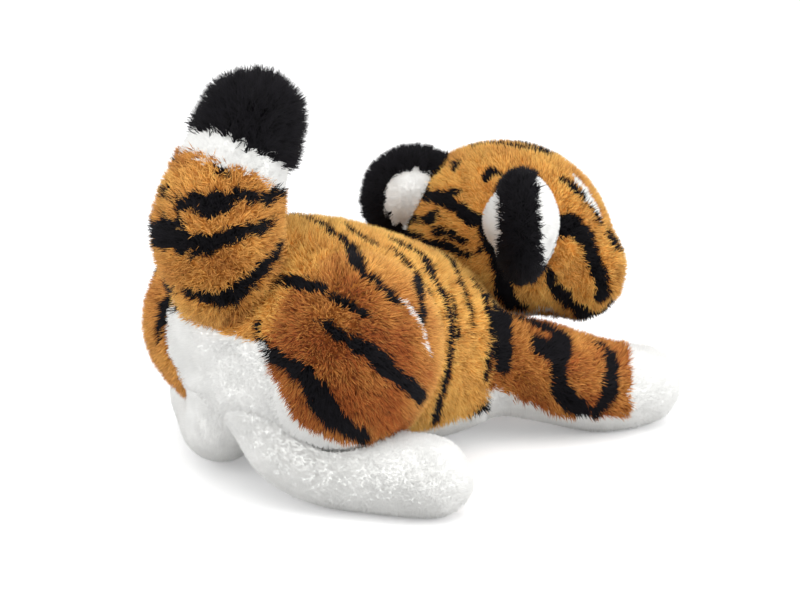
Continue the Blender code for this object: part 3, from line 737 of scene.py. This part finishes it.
# Stripes: x, y, z and half width of each point. The left side mirrors the right.
trunkStripes = [
    [(-1, 102, 159, 0.7), (-8, 101, 158, 1.3), (-18, 103, 157, 1.7), (-28, 105, 153, 1.9),
     (-35, 105, 150, 2.6), (-42, 107, 146, 3.5), (-61, 120, 148, 3.1), (-69, 121, 145, 1.7),
     (-75, 118, 141, 1.5), (-80, 116, 136, 1.7), (-83, 113, 131, 1.7), (-85, 110, 128, 0.9)],
    [(-11, 82, 153, 0.8), (-22, 85, 151, 0.8), (-29, 85, 148, 1.0), (-35, 82, 145, 0.7)],
    [(-36, 67, 139, 1.3), (-42, 67, 134, 1.9), (-47, 66, 129, 2.3), (-52, 67, 124, 2.5),
     (-74, 86, 128, 3.2), (-80, 89, 123, 2.9), (-83, 92, 118, 2.3), (-86, 93, 113, 1.5)],
    [(-52, 67, 124, 2.5), (-57, 66, 117, 2.7), (-61, 65, 108, 2.2), (-64, 64, 100, 1.4)],
    [(-34, 35, 126, 2.2), (-44, 45, 123, 2.9), (-50, 47, 118, 2.2), (-55, 45, 111, 2.3),
     (-59, 46, 105, 2.2), (-62, 48, 98, 2.2), (-65, 50, 90, 2.2), (-67, 53, 81, 2.1), (-67, 56, 70, 2.2),
     (-66, 57, 60, 2.3), (-64, 57, 50, 2.4), (-56, 50, 32, 2.2)],
    [(0, 10, 121, 1.0), (-17, -2, 115, 1.5), (-32, 8, 114, 1.4), (-41, 13, 109, 1.4), (-48, 16, 103, 1.2),
     (-54, 18, 96, 1.1), (-58, 19, 90, 1.0), (-62, 24, 84, 0.9)],
    [(-33, -8, 104, 2.4), (-40, -7, 95, 2.3), (-49, -2, 89, 1.8), (-54, 1, 82, 1.6), (-58, 6, 72, 1.5),
     (-61, 10, 62, 1.4), (-61, 14, 52, 1.1)],
    [(-49, -16, 88, 5.5), (-56, -8, 80, 5.5), (-61, -4, 70, 4.6), (-64, -2, 60, 3.2)],
    [(-37, -17, 92, 2.6), (-44, -14, 82, 2.8), (-53, -7, 67, 2.2), (-57, -1, 55, 2.0), (-58, 3, 44, 2.5),
     (-56, 6, 32, 2.9), (-53, 15, 23, 2.9), (-45, 19, 14, 2.5)],
    [(-54, 36, 107, 0.6), (-60, 39, 98, 0.7), (-65, 43, 88, 0.6)],
    [(-25, 161, 134, 2.1), (-29, 156, 137, 2.9), (-37, 150, 138, 2.9), (-51, 148, 139, 2.6),
     (-65, 147, 140, 2.0), (-73, 144, 136, 1.8), (-79, 141, 132, 1.7), (-82, 136, 128, 1.2)],
    [(-72, 158, 125, 1.0), (-78, 154, 121, 1.8), (-84, 149, 116, 2.6), (-87, 143, 111, 3.0),
     (-90, 136, 106, 3.9), (-92, 132, 101, 4.2), (-93, 126, 94, 3.7), (-93, 118, 87, 3.1),
     (-91, 107, 79, 3.2), (-85, 93, 66, 2.9)],
    [(-21, 53, 140, 2.0), (-24, 48, 136, 1.8), (-27, 42, 133, 2.2), (-29, 37, 130, 1.5)],
    [(-32, 168, 117, 0.9), (-36, 168, 109, 2.3), (-45, 170, 104, 3.1), (-59, 175, 102, 3.9),
     (-69, 172, 98, 5.0), (-75, 168, 92, 5.6), (-78, 164, 83, 5.6), (-79, 159, 74, 5.1),
     (-81, 151, 65, 4.3), (-81, 141, 57, 3.7), (-80, 133, 52, 2.3)],
]


def torsoField(p):
    # Section at y as a superellipse: |x/w|^e + |z/h|^e = 1, e = 2 above and 2/sag below.
    rows = torsoRows
    y = np.clip(p[:, 1], rows[0, 1], rows[-1, 1])
    middle, width, height = (np.interp(y, rows[:, 1], rows[:, k]) for k in (2, 3, 4))
    up = p[:, 2] - middle
    power = np.where(up < 0, 2 / torso["sag"], 2.0)
    size = (np.abs(p[:, 0] / width) ** power + np.abs(up / height) ** power) ** (1 / power)
    return (size - 1) * np.minimum(width, height) + np.abs(p[:, 1] - y)


def torsoCoat(points):
    # White below the seam.
    coat = paintCoat(points, trunkStripes + mirrorStripes(trunkStripes))
    edge = tableAt(points[:, 1], torso["seam"]) + raggedEdge(points, torso["edge"])
    return np.where(points[:, 2] < edge, 2, coat)


def makeTorso():
    ahead = np.array([0, 1.0, 0])
    rings = loftRings(shrink(torsoRows, fur["inset"]), upwards, torso["sides"], torso["sag"], ahead)
    beside = [(thighFields[side], creases["thigh"]) for side in sideWords]
    beside += [(tailField, creases["tail"]), (headField, creases["head"])]
    beside += [(fields[side], creases["limb"]) for fields in (forelegFields, footFields) for side in sideWords]
    hidden = [(neckField, torso["neckFur"]), (tailField, furUnder)]
    hidden += [(fields[side], furUnder) for fields in (thighFields, forelegFields, footFields)
               for side in sideWords]
    nodes = ("body_back_panel", "body_belly_panel", "body_stuffing")
    pieces = makePiece("torso", torso, rings, torsoCoat, combAlong(torso["comb"]), nodes, hidden,
                       [(neckField, skinClear)], beside, torso["golds"])
    joinPieces(pieces, "body")
    print("torso made")


# Head: a skull and two cheeks. The neck is the ball that the torso keeps clear of when the head turns.
# Jowls are a white oval about the muzzle, and the throat is white below.

head = {
    "centre": (0, -75, 118), "radii": (72, 62, 56), "neck": (72, 62, 62), "cheek": (46.1, -93, 97),
    # Golds set high partly as painted light, for the cheeks that show lit.
    "cheekRadius": 33, "soft": 2.5, "rings": (72, 112), "comb": (0, 0.9, 0.1), "golds": (0.85, 0.85),
    "jowlHeight": 88, "jowlHalves": (46, 24), "jowlBack": -98, "throatTop": 78, "throatHalf": 40,
    "edge": (12, 6, 1, 0.6), "eyeRoom": (27, -133, 122), "eyeRoomRadius": 9.5, "fur": {"density": 1.4},
}
headCentre = metres(head["centre"])
skullField = ballField(headCentre, metres(head["radii"]))
neckField = ballField(headCentre, metres(head["neck"]))
cheekPlaces = [metres(head["cheek"], side) for side in sideWords]
cheekFields = [ballField(place, metres([head["cheekRadius"]] * 3)) for place in cheekPlaces]

headStripes = [
    [(27, -70, 170, 1.1), (15, -76, 172, 1.4), (3, -77, 174, 1.6), (-5, -79, 173, 1.9),
     (-13, -84, 172, 2.2), (-19, -92, 170, 2.1)],
    [(54, -38, 132, 2.3), (46, -34, 138, 2.7), (29, -28, 145, 3.0), (16, -25, 148, 3.0),
     (5, -23, 147, 3.2), (-6, -22, 145, 2.9), (-14, -21, 142, 3.2), (-23, -22, 139, 3.2),
     (-29, -22, 135, 3.2), (-33, -22, 129, 2.9), (-37, -23, 120, 2.9), (-40, -24, 110, 3.4)],
    [(8, -26, 151, 1.6), (-2, -27, 153, 1.2)],
    [(49, -31, 122, 1.0), (39, -25, 127, 1.8), (25, -19, 132, 1.6), (12, -18, 135, 3.2),
     (7, -18, 138, 2.3)],
    [(44, -27, 119, 1.2), (29, -19, 120, 1.6), (20, -17, 122, 1.2)],
    [(5, -15, 128, 2.1), (-5, -15, 129, 1.7), (-13, -16, 128, 1.5), (-17, -16, 125, 1.9)],
    [(19, -16, 118, 1.4), (7, -14, 120, 1.3), (-3, -14, 121, 1.7), (-11, -15, 120, 1.5),
     (-16, -15, 118, 1.5)],
    [(-21, -16, 118, 1.0), (-26, -18, 120, 0.9), (-30, -20, 123, 0.6)],
    [(-14, -41, 163, 1.9), (-15, -45, 165, 1.9), (-20, -46, 165, 1.3)],
    [(-62, -54, 138, 4.5), (-65, -60, 137, 6.1), (-67, -67, 135, 6.1), (-70, -72, 129, 5.1),
     (-71, -76, 121, 4.5), (-71, -80, 112, 4.2), (-75, -82, 104, 4.9), (-77, -85, 95, 4.2),
     (-75, -87, 86, 4.3)],
    [(-62, -48, 108, 2.2), (-62, -53, 99, 2.9), (-60, -63, 90, 3.2), (-62, -69, 83, 2.6),
     (-64, -76, 78, 3.3), (-63, -85, 69, 5.6), (-66, -95, 70, 5.6), (-71, -100, 76, 4.2)],
    [(-46, -78, 160, 1.3), (-51, -81, 157, 1.7), (-55, -84, 152, 2.9), (-58, -88, 148, 2.3),
     (-63, -89, 141, 2.0), (-66, -93, 133, 2.2)],
    [(-66, -100, 122, 2.0), (-68, -105, 117, 2.2), (-68, -111, 111, 1.6)],
    [(-41, -26, 104, 4.4), (-40, -30, 96, 4.8), (-38, -37, 88, 4.6), (-40, -46, 81, 4.2)],
    [(-8, -116, 153, 2.0), (0, -113, 158, 2.6), (8, -116, 153, 2.0)],
    [(-12, -108, 161, 1.8), (0, -103, 165, 2.6), (12, -108, 161, 1.8)],
    [(-15, -97, 168, 1.8), (0, -91, 171, 2.6), (15, -97, 168, 1.8)],
]
browPatches = [
    [(-43, -90, 160, 2.0), (-47, -92, 157, 3.9), (-52, -93, 152, 5.2), (-58, -94, 147, 5.2),
     (-61, -96, 142, 4.4), (-63, -99, 135, 2.6)],
    [(-46, -58, 76, 4.5), (-50, -66, 71, 6.5), (-50, -76, 66, 6.5), (-46, -86, 63, 5)],
]


def headField(p):
    # The least of skull, cheek and cheek.
    return np.minimum(np.minimum(skullField(p), cheekFields[0](p)), cheekFields[1](p))


def headRings(inset):
    # Reach along each direction: soft * log of the sum of exp(reach / soft) of skull, cheek and cheek.
    ways, soft = ballRings(*head["rings"]), head["soft"] * mm
    reaches = [reachOf(ways, np.zeros(3), metres(head["radii"]) - inset * mm)]
    reaches += [reachOf(ways, place - headCentre, np.full(3, (head["cheekRadius"] - inset) * mm))
                for place in cheekPlaces]
    reach = soft * np.log(sum(np.exp(r / soft) for r in reaches))
    return headCentre + ways * reach[..., None]


def headCoat(points):
    # Stripes 8 to 13 are on the cheeks, and both sides have them.
    coat = paintCoat(points, headStripes + mirrorStripes(headStripes[8:14]),
                     browPatches + mirrorStripes(browPatches))
    ragged = raggedEdge(points, head["edge"])
    across, high = points[:, 0] + ragged, points[:, 2] - head["jowlHeight"] * mm + ragged
    wide, tall = head["jowlHalves"]
    jowls = (points[:, 1] < head["jowlBack"] * mm) & (np.hypot(across / wide, high / tall) < mm)
    throat = (points[:, 2] + ragged < head["throatTop"] * mm) & (np.abs(across) < head["throatHalf"] * mm)
    return np.where((jowls | throat) & (coat == 0), 2, coat)


def makeHead():
    hidden = [(muzzleField, 0), (chinField, 0)]
    hidden += [(ballField(earPlaces[side], metres(ear["room"]), side * math.radians(ear["turn"])), 0)
               for side in sideWords]
    hidden += [(ballField(metres(head["eyeRoom"], side), metres([head["eyeRoomRadius"]] * 3)), 0)
               for side in sideWords]
    nodes = ("head_back_panel", "head_face_panel", "head_stuffing")
    pieces = makePiece("head", head, headRings(fur["inset"]), headCoat, combAlong(head["comb"]), nodes, hidden,
                       (), [(torsoField, creases["head"])], head["golds"])
    joinPieces(pieces, "head")
    print("head made")


# Muzzle: two lobes, set away from the middle. Chin: one ball. Room: where the neighbours grow no strands.

muzzle = {"centre": (0, -130.2, 92.2), "lobe": (20, 21, 18), "lobeAway": 11, "room": (33, 23, 20),
          "rings": (36, 56), "comb": (0, 1, 0), "nose": (0, -149.5, 104.6), "noseRoom": (10, 6, 7),
          "noseGap": 1, "under": -1, "fur": {"density": 1.8, "length": (3.6, 3.6, 3.6)}}
chin = {"centre": (0, -120, 70.5), "radii": (20, 19, 11), "room": (22, 21, 13), "rings": (24, 40)}
muzzleCentre, chinCentre = metres(muzzle["centre"]), metres(chin["centre"])
muzzleField = ballField(muzzleCentre, metres(muzzle["room"]))
chinField = ballField(chinCentre, metres(chin["room"]))


def muzzleRings():
    # The greater reach of two balls set to either side of the middle.
    ways, radii, shift = ballRings(*muzzle["rings"]), metres(muzzle["lobe"]), metres((muzzle["lobeAway"], 0, 0))
    reach = np.maximum(reachOf(ways, shift, radii), reachOf(ways, -shift, radii))
    return muzzleCentre + ways * reach[..., None]


def makeMuzzle():
    noseField = ballField(metres(muzzle["nose"]), metres(muzzle["noseRoom"]))
    comb, under = combAlong(muzzle["comb"]), muzzle["under"]
    pieces = makePiece("muzzle", muzzle, muzzleRings(), whiteCoat, comb, ["muzzle"],
                       [(noseField, muzzle["noseGap"]), (headField, under)])
    rings = ballSkin(chinCentre, metres(chin["radii"]), *chin["rings"])
    pieces += makePiece("chin", muzzle, rings, whiteCoat, comb, ["chin"],
                        [(headField, under), (muzzleField, under)])
    joinPieces(pieces, "head")
    print("muzzle and chin made")


# Ears: a rim with a rounded patch in front and behind, as middle and radii in the ear's own axes.
# White: reach of the white in front and behind.

ear = {
    "centre": (49, -39, 138.2), "turn": 45, "rim": (33.5, 10.5), "rimPower": 4, "back": 2.5, "rings": (48, 72),
    "patches": [((0, -2.5, 2.5), (29.5, 19, 29.5)), ((0, 0, 3), (21.5, 23, 21.5))], "white": (28.5, 20.5),
    "whiteUp": 2.5, "edge": (12, 6, 0, 0.5), "room": (35, 13, 35), "headFur": 0.5,
    "bend": (3, 20), "bendWay": (0.77, 0.56, 0.31),
    "fur": {"density": 1.8, "length": (6, 6, 2.6), "clump": 0.5, "stray": 0.4, "lean": 0.3, "tuft": 7},
}
earPlaces = {side: metres(ear["centre"], side) for side in sideWords}


def earRings(side):
    # The greatest reach of a rim, (flat / R)^4 + (thick / t)^4 = 1, and of a patch on either face.
    ways, (wide, deep) = ballRings(*ear["rings"]), ear["rim"]
    flat, thick = np.hypot(ways[..., 0], ways[..., 2]) / (wide * mm), np.abs(ways[..., 1]) / (deep * mm)
    reach = (flat ** ear["rimPower"] + thick ** ear["rimPower"]) ** (-1 / ear["rimPower"])
    for middle, radii in ear["patches"]:
        reach = np.maximum(reach, reachOf(ways, metres(middle), metres(radii)))
    spin = turned(side * math.radians(ear["turn"]))
    return earPlaces[side] + (metres((0, ear["back"], 0)) + ways * reach[..., None]) @ spin


def earCoat(side):
    def coat(points):
        # Black, with a large white patch on the front face and a small one on the back.
        away = points - earPlaces[side]
        facing = np.array([side, -1, 0]) / math.sqrt(2)
        ahead = away @ facing
        flat = away - ahead[:, None] * facing - metres((0, 0, ear["whiteUp"]))
        reach = np.where(ahead > 0, *(size * mm for size in ear["white"]))
        return np.where(np.linalg.norm(flat, axis=1) + raggedEdge(points, ear["edge"]) < reach, 2, 1)
    return coat


def makeEar(side, word):
    place, low = earPlaces[side], word.lower()
    nodes = [f"ear_{low}_{part}" for part in ("rim", "front", "back")]
    pieces = makePiece(f"ear{word}", ear, earRings(side), earCoat(side), combAway(place), nodes,
                       [(headField, ear["headFur"])], [(headField, skinClear)])
    start, end = (place + size * metres(ear["bendWay"], side) for size in ear["bend"])
    joinPieces(pieces, "head", f"ear_{low}", start, end)
    print("ear made", low)


# Forelegs. Rows, as shares: way out, way forward, half width, half height, underside.
# White below the seam, and on the paw: where the reach outwards plus the reach forward is over this.

foreleg = {
    "start": (38.1, -2.9), "end": (103, -127), "height": 70, "halfWidth": 29, "sunk": 0.5,
    "rows": [(0, 0, 0.86, 0.47, 0.31), (0.377, 0.292, 1, 0.46, 0.17), (0.689, 0.583, 1, 0.43, 0),
             (0.869, 0.808, 0.93, 0.39, 0), (0.945, 0.92, 0.78, 0.33, 0.03), (1, 1, 0.36, 0.17, 0.17)],
    "sections": 33, "sides": 64, "comb": (0.45, -0.8, 0), "golds": (0.35, 0.22),
    "seam": [(-60, 18), (-36, 22), (-16, 32), (0, 44)], "paw": 186, "edge": (12, 6, 1, 0.6),
    "bendSection": 12, "fur": {"density": 1.4},
}
forelegRows = {side: limbRows(foreleg, side) for side in sideWords}
forelegFields = {side: lineField(forelegRows[side][::2]) for side in sideWords}
forelegStripes = [
    [(-66, -37, 76, 4.5), (-72, -40, 74, 5.1), (-79, -41, 70, 6.4), (-84, -37, 65, 5.7),
     (-87, -32, 59, 4.4), (-88, -29, 52, 3.8), (-90, -29, 44, 4.4), (-92, -33, 36, 5.1),
     (-95, -39, 30, 4.5), (-98, -45, 24, 3.6)],
    [(-76, -25, 68, 4.4), (-81, -31, 65, 5.1)],
    [(-85, -66, 64, 1.6), (-90, -70, 60, 2.6), (-97, -70, 56, 3.2), (-102, -66, 50, 3.2),
     (-105, -61, 44, 3.9), (-106, -59, 37, 3.9), (-104, -55, 29, 3.2), (-101, -52, 22, 2.3)],
    [(-49, -18, 83, 6.2), (-59, -6, 77, 6.4), (-64, -2, 68, 5.6), (-67, -1, 58, 3.6)],
    [(-50, -26, 85, 4.2), (-58, -32, 81, 4.4), (-66, -37, 76, 4.5)],
]


def forelegCoat(side):
    stripes = forelegStripes if side < 0 else mirrorStripes(forelegStripes)

    def coat(points):
        made = paintCoat(points, stripes)
        ragged = raggedEdge(points, foreleg["edge"])
        low = points[:, 2] + ragged < tableAt(points[:, 1], foreleg["seam"])
        paw = np.abs(points[:, 0]) - points[:, 1] + ragged > foreleg["paw"] * mm
        return np.where(low | paw, 2, made)
    return coat


def makeForeleg(side, word):
    rows, low = forelegRows[side], word.lower()
    rings = loftRings(shrink(rows, fur["inset"]), upwards, foreleg["sides"])
    nodes = [f"foreleg_{low}_{part}" for part in ("sleeve", "paw", "stuffing")]
    comb = combAlong(np.array(foreleg["comb"]) * (side, 1, 1))
    pieces = makePiece(f"foreleg{word}", foreleg, rings, forelegCoat(side), comb, nodes,
                       [(torsoField, furUnder), (headField, furUnder)],
                       [(torsoField, skinClear), (headField, skinClear)], [(torsoField, creases["limb"])],
                       foreleg["golds"])
    joinPieces(pieces, "body", f"foreleg_{low}", rows[0, :3], rows[foreleg["bendSection"], :3])
    print("foreleg made", low)


# Thighs. Gold = least + a share by the way forward + a share by the way up, each as two ways and its most.
# Besides the orange's own tone, gold here is painted light: lighter to the front and top, and the right thigh
# darker than the left.
# Seams: height, and the reach outwards less the reach back, inside which the thigh is white.

thigh = {
    "centre": (57.8, 119.9, 92.6), "radii": (36, 56, 56), "rings": (56, 80), "comb": (0, -0.1, -1),
    # Painted light: the right thigh's lower least is painted shade, and the front and top shares paint lit
    # edges.
    "goldLeast": {-1: 0.05, 1: 0.4}, "litFrontGold": ((5, 45), 0.55), "litTopGold": ((25, 55), 0.35),
    "edge": (12, 6, 0.8, 0.5), "bend": (0.6, 1.15), "fur": {"density": 1.4},
    "seams": {-1: [(47, -44), (50, -65), (67, -107), (86, -118), (97, -129), (115, -137), (127, -138)],
              1: [(47, -150), (60, -145), (67, -138), (75, -126), (81, -122), (127, -122)]},
}
hipPlaces = {side: metres(thigh["centre"], side) for side in sideWords}
thighFields = {side: ballField(hipPlaces[side], metres(thigh["radii"])) for side in sideWords}
leftStripe = [[(44, 168, 118, 2.2), (49, 170, 112, 3.6), (52, 174, 104, 3.6), (54, 176, 94, 3.6),
               (57, 177, 83, 3.2), (60, 174, 72, 3.0), (64, 168, 62, 2.6)]]
whiteThread = [[(-83, 104, 127, 0.8), (-84, 100, 123, 1.3), (-86, 98, 116, 1.4), (-87, 94, 109, 1.3),
                (-88, 92, 100, 0.8), (-86, 88, 90, 0.7)]]


def thighCoat(side):
    stripes = trunkStripes if side < 0 else mirrorStripes(trunkStripes[:-1]) + leftStripe
    thread = whiteThread if side < 0 else mirrorStripes(whiteThread)

    def coat(points):
        made = paintCoat(points, stripes, thread)
        inwards = np.abs(points[:, 0]) - points[:, 1] + raggedEdge(points, thigh["edge"])
        return np.where(inwards < tableAt(points[:, 2], thigh["seams"][side]), 2, made)
    return coat


def thighGoldAndLight(side):
    def gold(points):
        # Gold with painted light: rises towards the thigh's front and top.
        away = points - hipPlaces[side]
        (front, frontMost), (top, topMost) = thigh["litFrontGold"], thigh["litTopGold"]
        return (thigh["goldLeast"][side] + np.interp(-away[:, 1], np.array(front) * mm, [0, frontMost])
                + np.interp(away[:, 2], np.array(top) * mm, [0, topMost]))
    return gold


# Feet. Rows as for the forelegs. Bend: two points, at the body's end of the foot and at the leg's.

foot = {
    "start": (24.5, 150.4), "end": (122, 88), "height": 50, "halfWidth": 26, "sunk": 0.5, "inset": 2.5,
    "rows": [(-0.12, 0, 0.9, 0.52, 0.8), (0.03, 0.05, 0.95, 0.52, 0.28), (0.24, 0.24, 0.95, 0.48, 0.05),
             (0.54, 0.54, 0.95, 0.5, 0), (0.78, 0.78, 0.98, 0.5, 0), (0.9, 0.9, 0.8, 0.43, 0.02),
             (1, 1, 0.32, 0.18, 0.25)],
    "sections": 33, "sides": 56, "comb": (0.9, -0.4, 0), "bend": ((24.5, 150, 45), (76, 118, 25)),
    "fur": {"density": 1.8, "length": (2.8, 2.8, 2.8), "stray": 0.12},
}
footRows = {side: limbRows(foot, side) for side in sideWords}
footFields = {side: lineField(footRows[side][::2]) for side in sideWords}


def makeHindLeg(side, word):
    low = word.lower()
    rings = ballSkin(hipPlaces[side], metres(thigh["radii"]) - fur["inset"] * mm, *thigh["rings"])
    pieces = makePiece(f"thigh{word}", thigh, rings, thighCoat(side), combAlong(thigh["comb"]),
                       (f"thigh_{low}_panel", f"thigh_{low}_stuffing"),
                       [(torsoField, furUnder), (footFields[side], furUnder)], [(torsoField, skinClear)],
                       [(torsoField, creases["thigh"])], (thighGoldAndLight(side), thighGoldAndLight(side)))
    rings = loftRings(shrink(footRows[side], foot["inset"]), upwards, foot["sides"])
    comb = combAlong(np.array(foot["comb"]) * (side, 1, 1))
    feet = makePiece(f"foot{word}", foot, rings, whiteCoat, comb, (f"foot_{low}_panel", f"foot_{low}_stuffing"),
                     [(torsoField, furUnder), (thighFields[side], furUnder)], [(thighFields[side], skinClear)],
                     [(torsoField, creases["limb"]), (thighFields[side], creases["foot"])])
    start, end = (hipPlaces[side] * (size, 1, 1) for size in thigh["bend"])
    joinPieces(pieces, "body", f"hind_leg_{low}", start, end)
    start, end = (metres(place, side) for place in foot["bend"])
    joinPieces(feet, "body", f"hind_leg_{low}", start, end)
    print("hind leg made", low)


# Tail. Rows, as shares: way back, way up, radius. Band: shares of the path where white and black start.
# Grow: how much longer the pile is on the tail and on its black tip.

def tailGrow(points):
    usual, tip = tail["grow"]
    return np.where(tailWay(points) > tail["band"][1], tip, usual)


tail = {
    "root": (158.1, 112.7), "back": 13, "height": 138, "radius": 36, "sections": 81, "sides": 72,
    "rows": [(0, 0, 0.28), (0.23, 0.09, 0.74), (0.62, 0.21, 0.91), (0.92, 0.32, 0.97), (1, 0.428, 1),
             (0.23, 0.62, 0.889), (-0.77, 0.772, 0.8), (-1.62, 0.924, 0.66), (-1.92, 1, 0.17)],
    # Golds raised partly as painted light, to lift the tail base that shows in shade.
    "golds": (0.5, 0.6), "band": (0.637, 0.705), "edge": (14, 5, 6, 3), "grow": (1.1, 1.5),
    "bend": ((0, 158, 100), (0, 168, 150)),
    "fur": {"density": 1.55, "lean": 0.3, "clump": 0.4, "tuft": 7, "stray": 0.3, "grow": tailGrow},
}
tailRows = smoothRows([(0, tail["root"][0] + tail["back"] * back, tail["root"][1] + tail["height"] * up,
                        tail["radius"] * size, tail["radius"] * size)
                       for back, up, size in tail["rows"]], tail["sections"]) * mm
tailField = lineField(tailRows[::4])
tailStripes = [
    [(-18, 185, 210, 2.2), (-24, 181, 207, 1.7)],
    [(14, 197, 193, 2.2), (9, 200, 195, 3.0), (4, 202, 193, 2.2)],
    [(-5, 202, 188, 2.2), (-10, 199, 192, 3.9), (-16, 196, 193, 4.5), (-21, 193, 191, 5.6),
     (-24, 188, 194, 4.5), (-27, 185, 195, 2.8), (-29, 177, 196, 2.2), (-32, 171, 193, 2.5),
     (-32, 162, 192, 2.5), (-27, 147, 193, 2.6)],
    [(7, 204, 181, 1.6), (1, 206, 179, 2.0), (-5, 205, 174, 3.4), (-14, 204, 171, 4.2),
     (-22, 198, 170, 4.2), (-29, 192, 173, 3.3), (-33, 182, 176, 2.8), (-35, 170, 177, 2.5),
     (-32, 156, 177, 1.7)],
    [(-1, 206, 171, 1.7), (-8, 205, 166, 1.7), (-15, 204, 165, 1.4)],
    [(-9, 198, 139, 2.3), (-16, 195, 137, 3.4), (-21, 190, 136, 4.5), (-27, 184, 139, 4.8),
     (-31, 178, 144, 4.5), (-33, 170, 150, 4.0), (-34, 163, 155, 3.4), (-29, 152, 160, 2.3)],
]


def tailWay(points):
    # Share of the tail's path nearest to each point.
    middles = tailRows[:, :3]
    best, way = np.full(len(points), 1e9), np.zeros(len(points))
    for k, middle in enumerate(middles):
        gap = np.linalg.norm(points - middle, axis=1)
        nearer = gap < best
        best = np.where(nearer, gap, best)
        way = np.where(nearer, k / (len(middles) - 1), way)
    return way


def tailCoat(points):
    coat = paintCoat(points, tailStripes + mirrorStripes(tailStripes[:2] + tailStripes[3:]))
    way = tailWay(points) + raggedEdge(points, tail["edge"])
    white, black = tail["band"]
    return np.where(way > black, 1, np.where(way > white, 2, coat))


def makeTail():
    rings = loftRings(shrink(tailRows, fur["inset"]), np.array([1.0, 0, 0]), tail["sides"])
    nodes = ("tail_sleeve", "tail_band", "tail_tip", "tail_stuffing")
    pieces = makePiece("tail", tail, rings, tailCoat, combUp, nodes, [(torsoField, furUnder)],
                       [(torsoField, skinClear)], [(torsoField, creases["tail"])], tail["golds"])
    start, end = (metres(place) for place in tail["bend"])
    joinPieces(pieces, "body", "tail", start, end)
    print("tail made")


# Eyes, nose, mouth thread and washers keep their own shapes and get these finishes.

eye = {
    "middle": (27, -132.3, 121.9), "facing": (0.3288, -0.941, 0.0785), "reach": 8,
    "bands": [(0, (0.003, 0.002, 0.002)), (0.56, (0.003, 0.002, 0.002)), (0.61, (0.2, 0.07, 0.008)),
              (0.74, (0.42, 0.19, 0.022)), (0.83, (0.22, 0.08, 0.01)), (0.9, (0.006, 0.004, 0.003))],
    "roughness": 0.12, "specular": 0.25, "streakScale": 900, "streakDetail": 2, "streak": 0.05,
}
# Dark and pale colour, roughness, scale of the grain and its depth in millimetres.
washer = {"look": ((0.5, 0.5, 0.48), (0.68, 0.68, 0.66), 0.5, 300, 0.05)}
nose = {"look": ((0.3, 0.11, 0.1), (0.5, 0.23, 0.2), 0.38, 700, 0.15)}
mouthThread = {"look": ((0.006, 0.006, 0.007), (0.03, 0.03, 0.032), 0.7, 1800, 0.2)}


def eyeLook(name, side):
    # Bands of colour by the distance from the eye's axis: |(place - middle) x facing| / reach + streak.
    look, nodes, links, shader = startLook(name, eye["roughness"])
    shader.inputs["Specular IOR Level"].default_value = eye["specular"]
    place = nodes.new("ShaderNodeTexCoord")
    away, turn, size = (nodes.new("ShaderNodeVectorMath") for _ in range(3))
    away.operation, turn.operation, size.operation = "SUBTRACT", "CROSS_PRODUCT", "LENGTH"
    away.inputs[1].default_value = metres(eye["middle"], side)
    turn.inputs[1].default_value = np.array(eye["facing"]) * (side, 1, 1)
    share = nodes.new("ShaderNodeMath")
    share.operation = "MULTIPLY_ADD"
    share.inputs[1].default_value = 1 / (eye["reach"] * mm)
    streak = nodes.new("ShaderNodeMapRange")
    streak.inputs["To Min"].default_value = -eye["streak"]
    streak.inputs["To Max"].default_value = eye["streak"]
    ramp = addRamp(nodes, eye["bands"])
    grain = addNoise(nodes, links, eye["streakScale"], eye["streakDetail"])
    links.new(place.outputs["Object"], away.inputs[0])
    links.new(away.outputs["Vector"], turn.inputs[0])
    links.new(turn.outputs["Vector"], size.inputs[0])
    links.new(size.outputs["Value"], share.inputs[0])
    links.new(grain, streak.inputs["Value"])
    links.new(streak.outputs["Result"], share.inputs[2])
    links.new(share.outputs[0], ramp.inputs["Fac"])
    links.new(ramp.outputs["Color"], shader.inputs["Base Color"])
    return look


def grainLook(name, dark, pale, roughness, scale, depth):
    # Colour and height both follow one fine noise, as on moulded or twisted stuff.
    look, nodes, links, shader = startLook(name, roughness)
    grain = addNoise(nodes, links, scale, 4)
    ramp = addRamp(nodes, [(0.3, dark), (0.7, pale)])
    bump = nodes.new("ShaderNodeBump")
    bump.inputs["Strength"].default_value = 0.5
    bump.inputs["Distance"].default_value = depth * mm
    links.new(grain, ramp.inputs["Fac"])
    links.new(grain, bump.inputs["Height"])
    links.new(ramp.outputs["Color"], shader.inputs["Base Color"])
    links.new(bump.outputs["Normal"], shader.inputs["Normal"])
    return look


def dressNode(node, look):
    bpy.data.objects[node].data.materials.clear()
    bpy.data.objects[node].data.materials.append(look)


def dressSmallParts():
    washerLook = grainLook("washerPlastic", *washer["look"])
    for side, word in sideWords.items():
        dressNode(f"eye_{word.lower()}", eyeLook(f"eyeGloss{word}", side))
        dressNode(f"eye_washer_{word.lower()}", washerLook)
    dressNode("nose", grainLook("noseSatin", *nose["look"]))
    dressNode("mouth_thread", grainLook("mouthThread", *mouthThread["look"]))
    print("small parts dressed")


makeStudio()
makeTorso()
makeHead()
makeMuzzle()
for side, word in sideWords.items():
    makeEar(side, word)
    makeForeleg(side, word)
    makeHindLeg(side, word)
makeTail()
dressSmallParts()
print("pieces made")
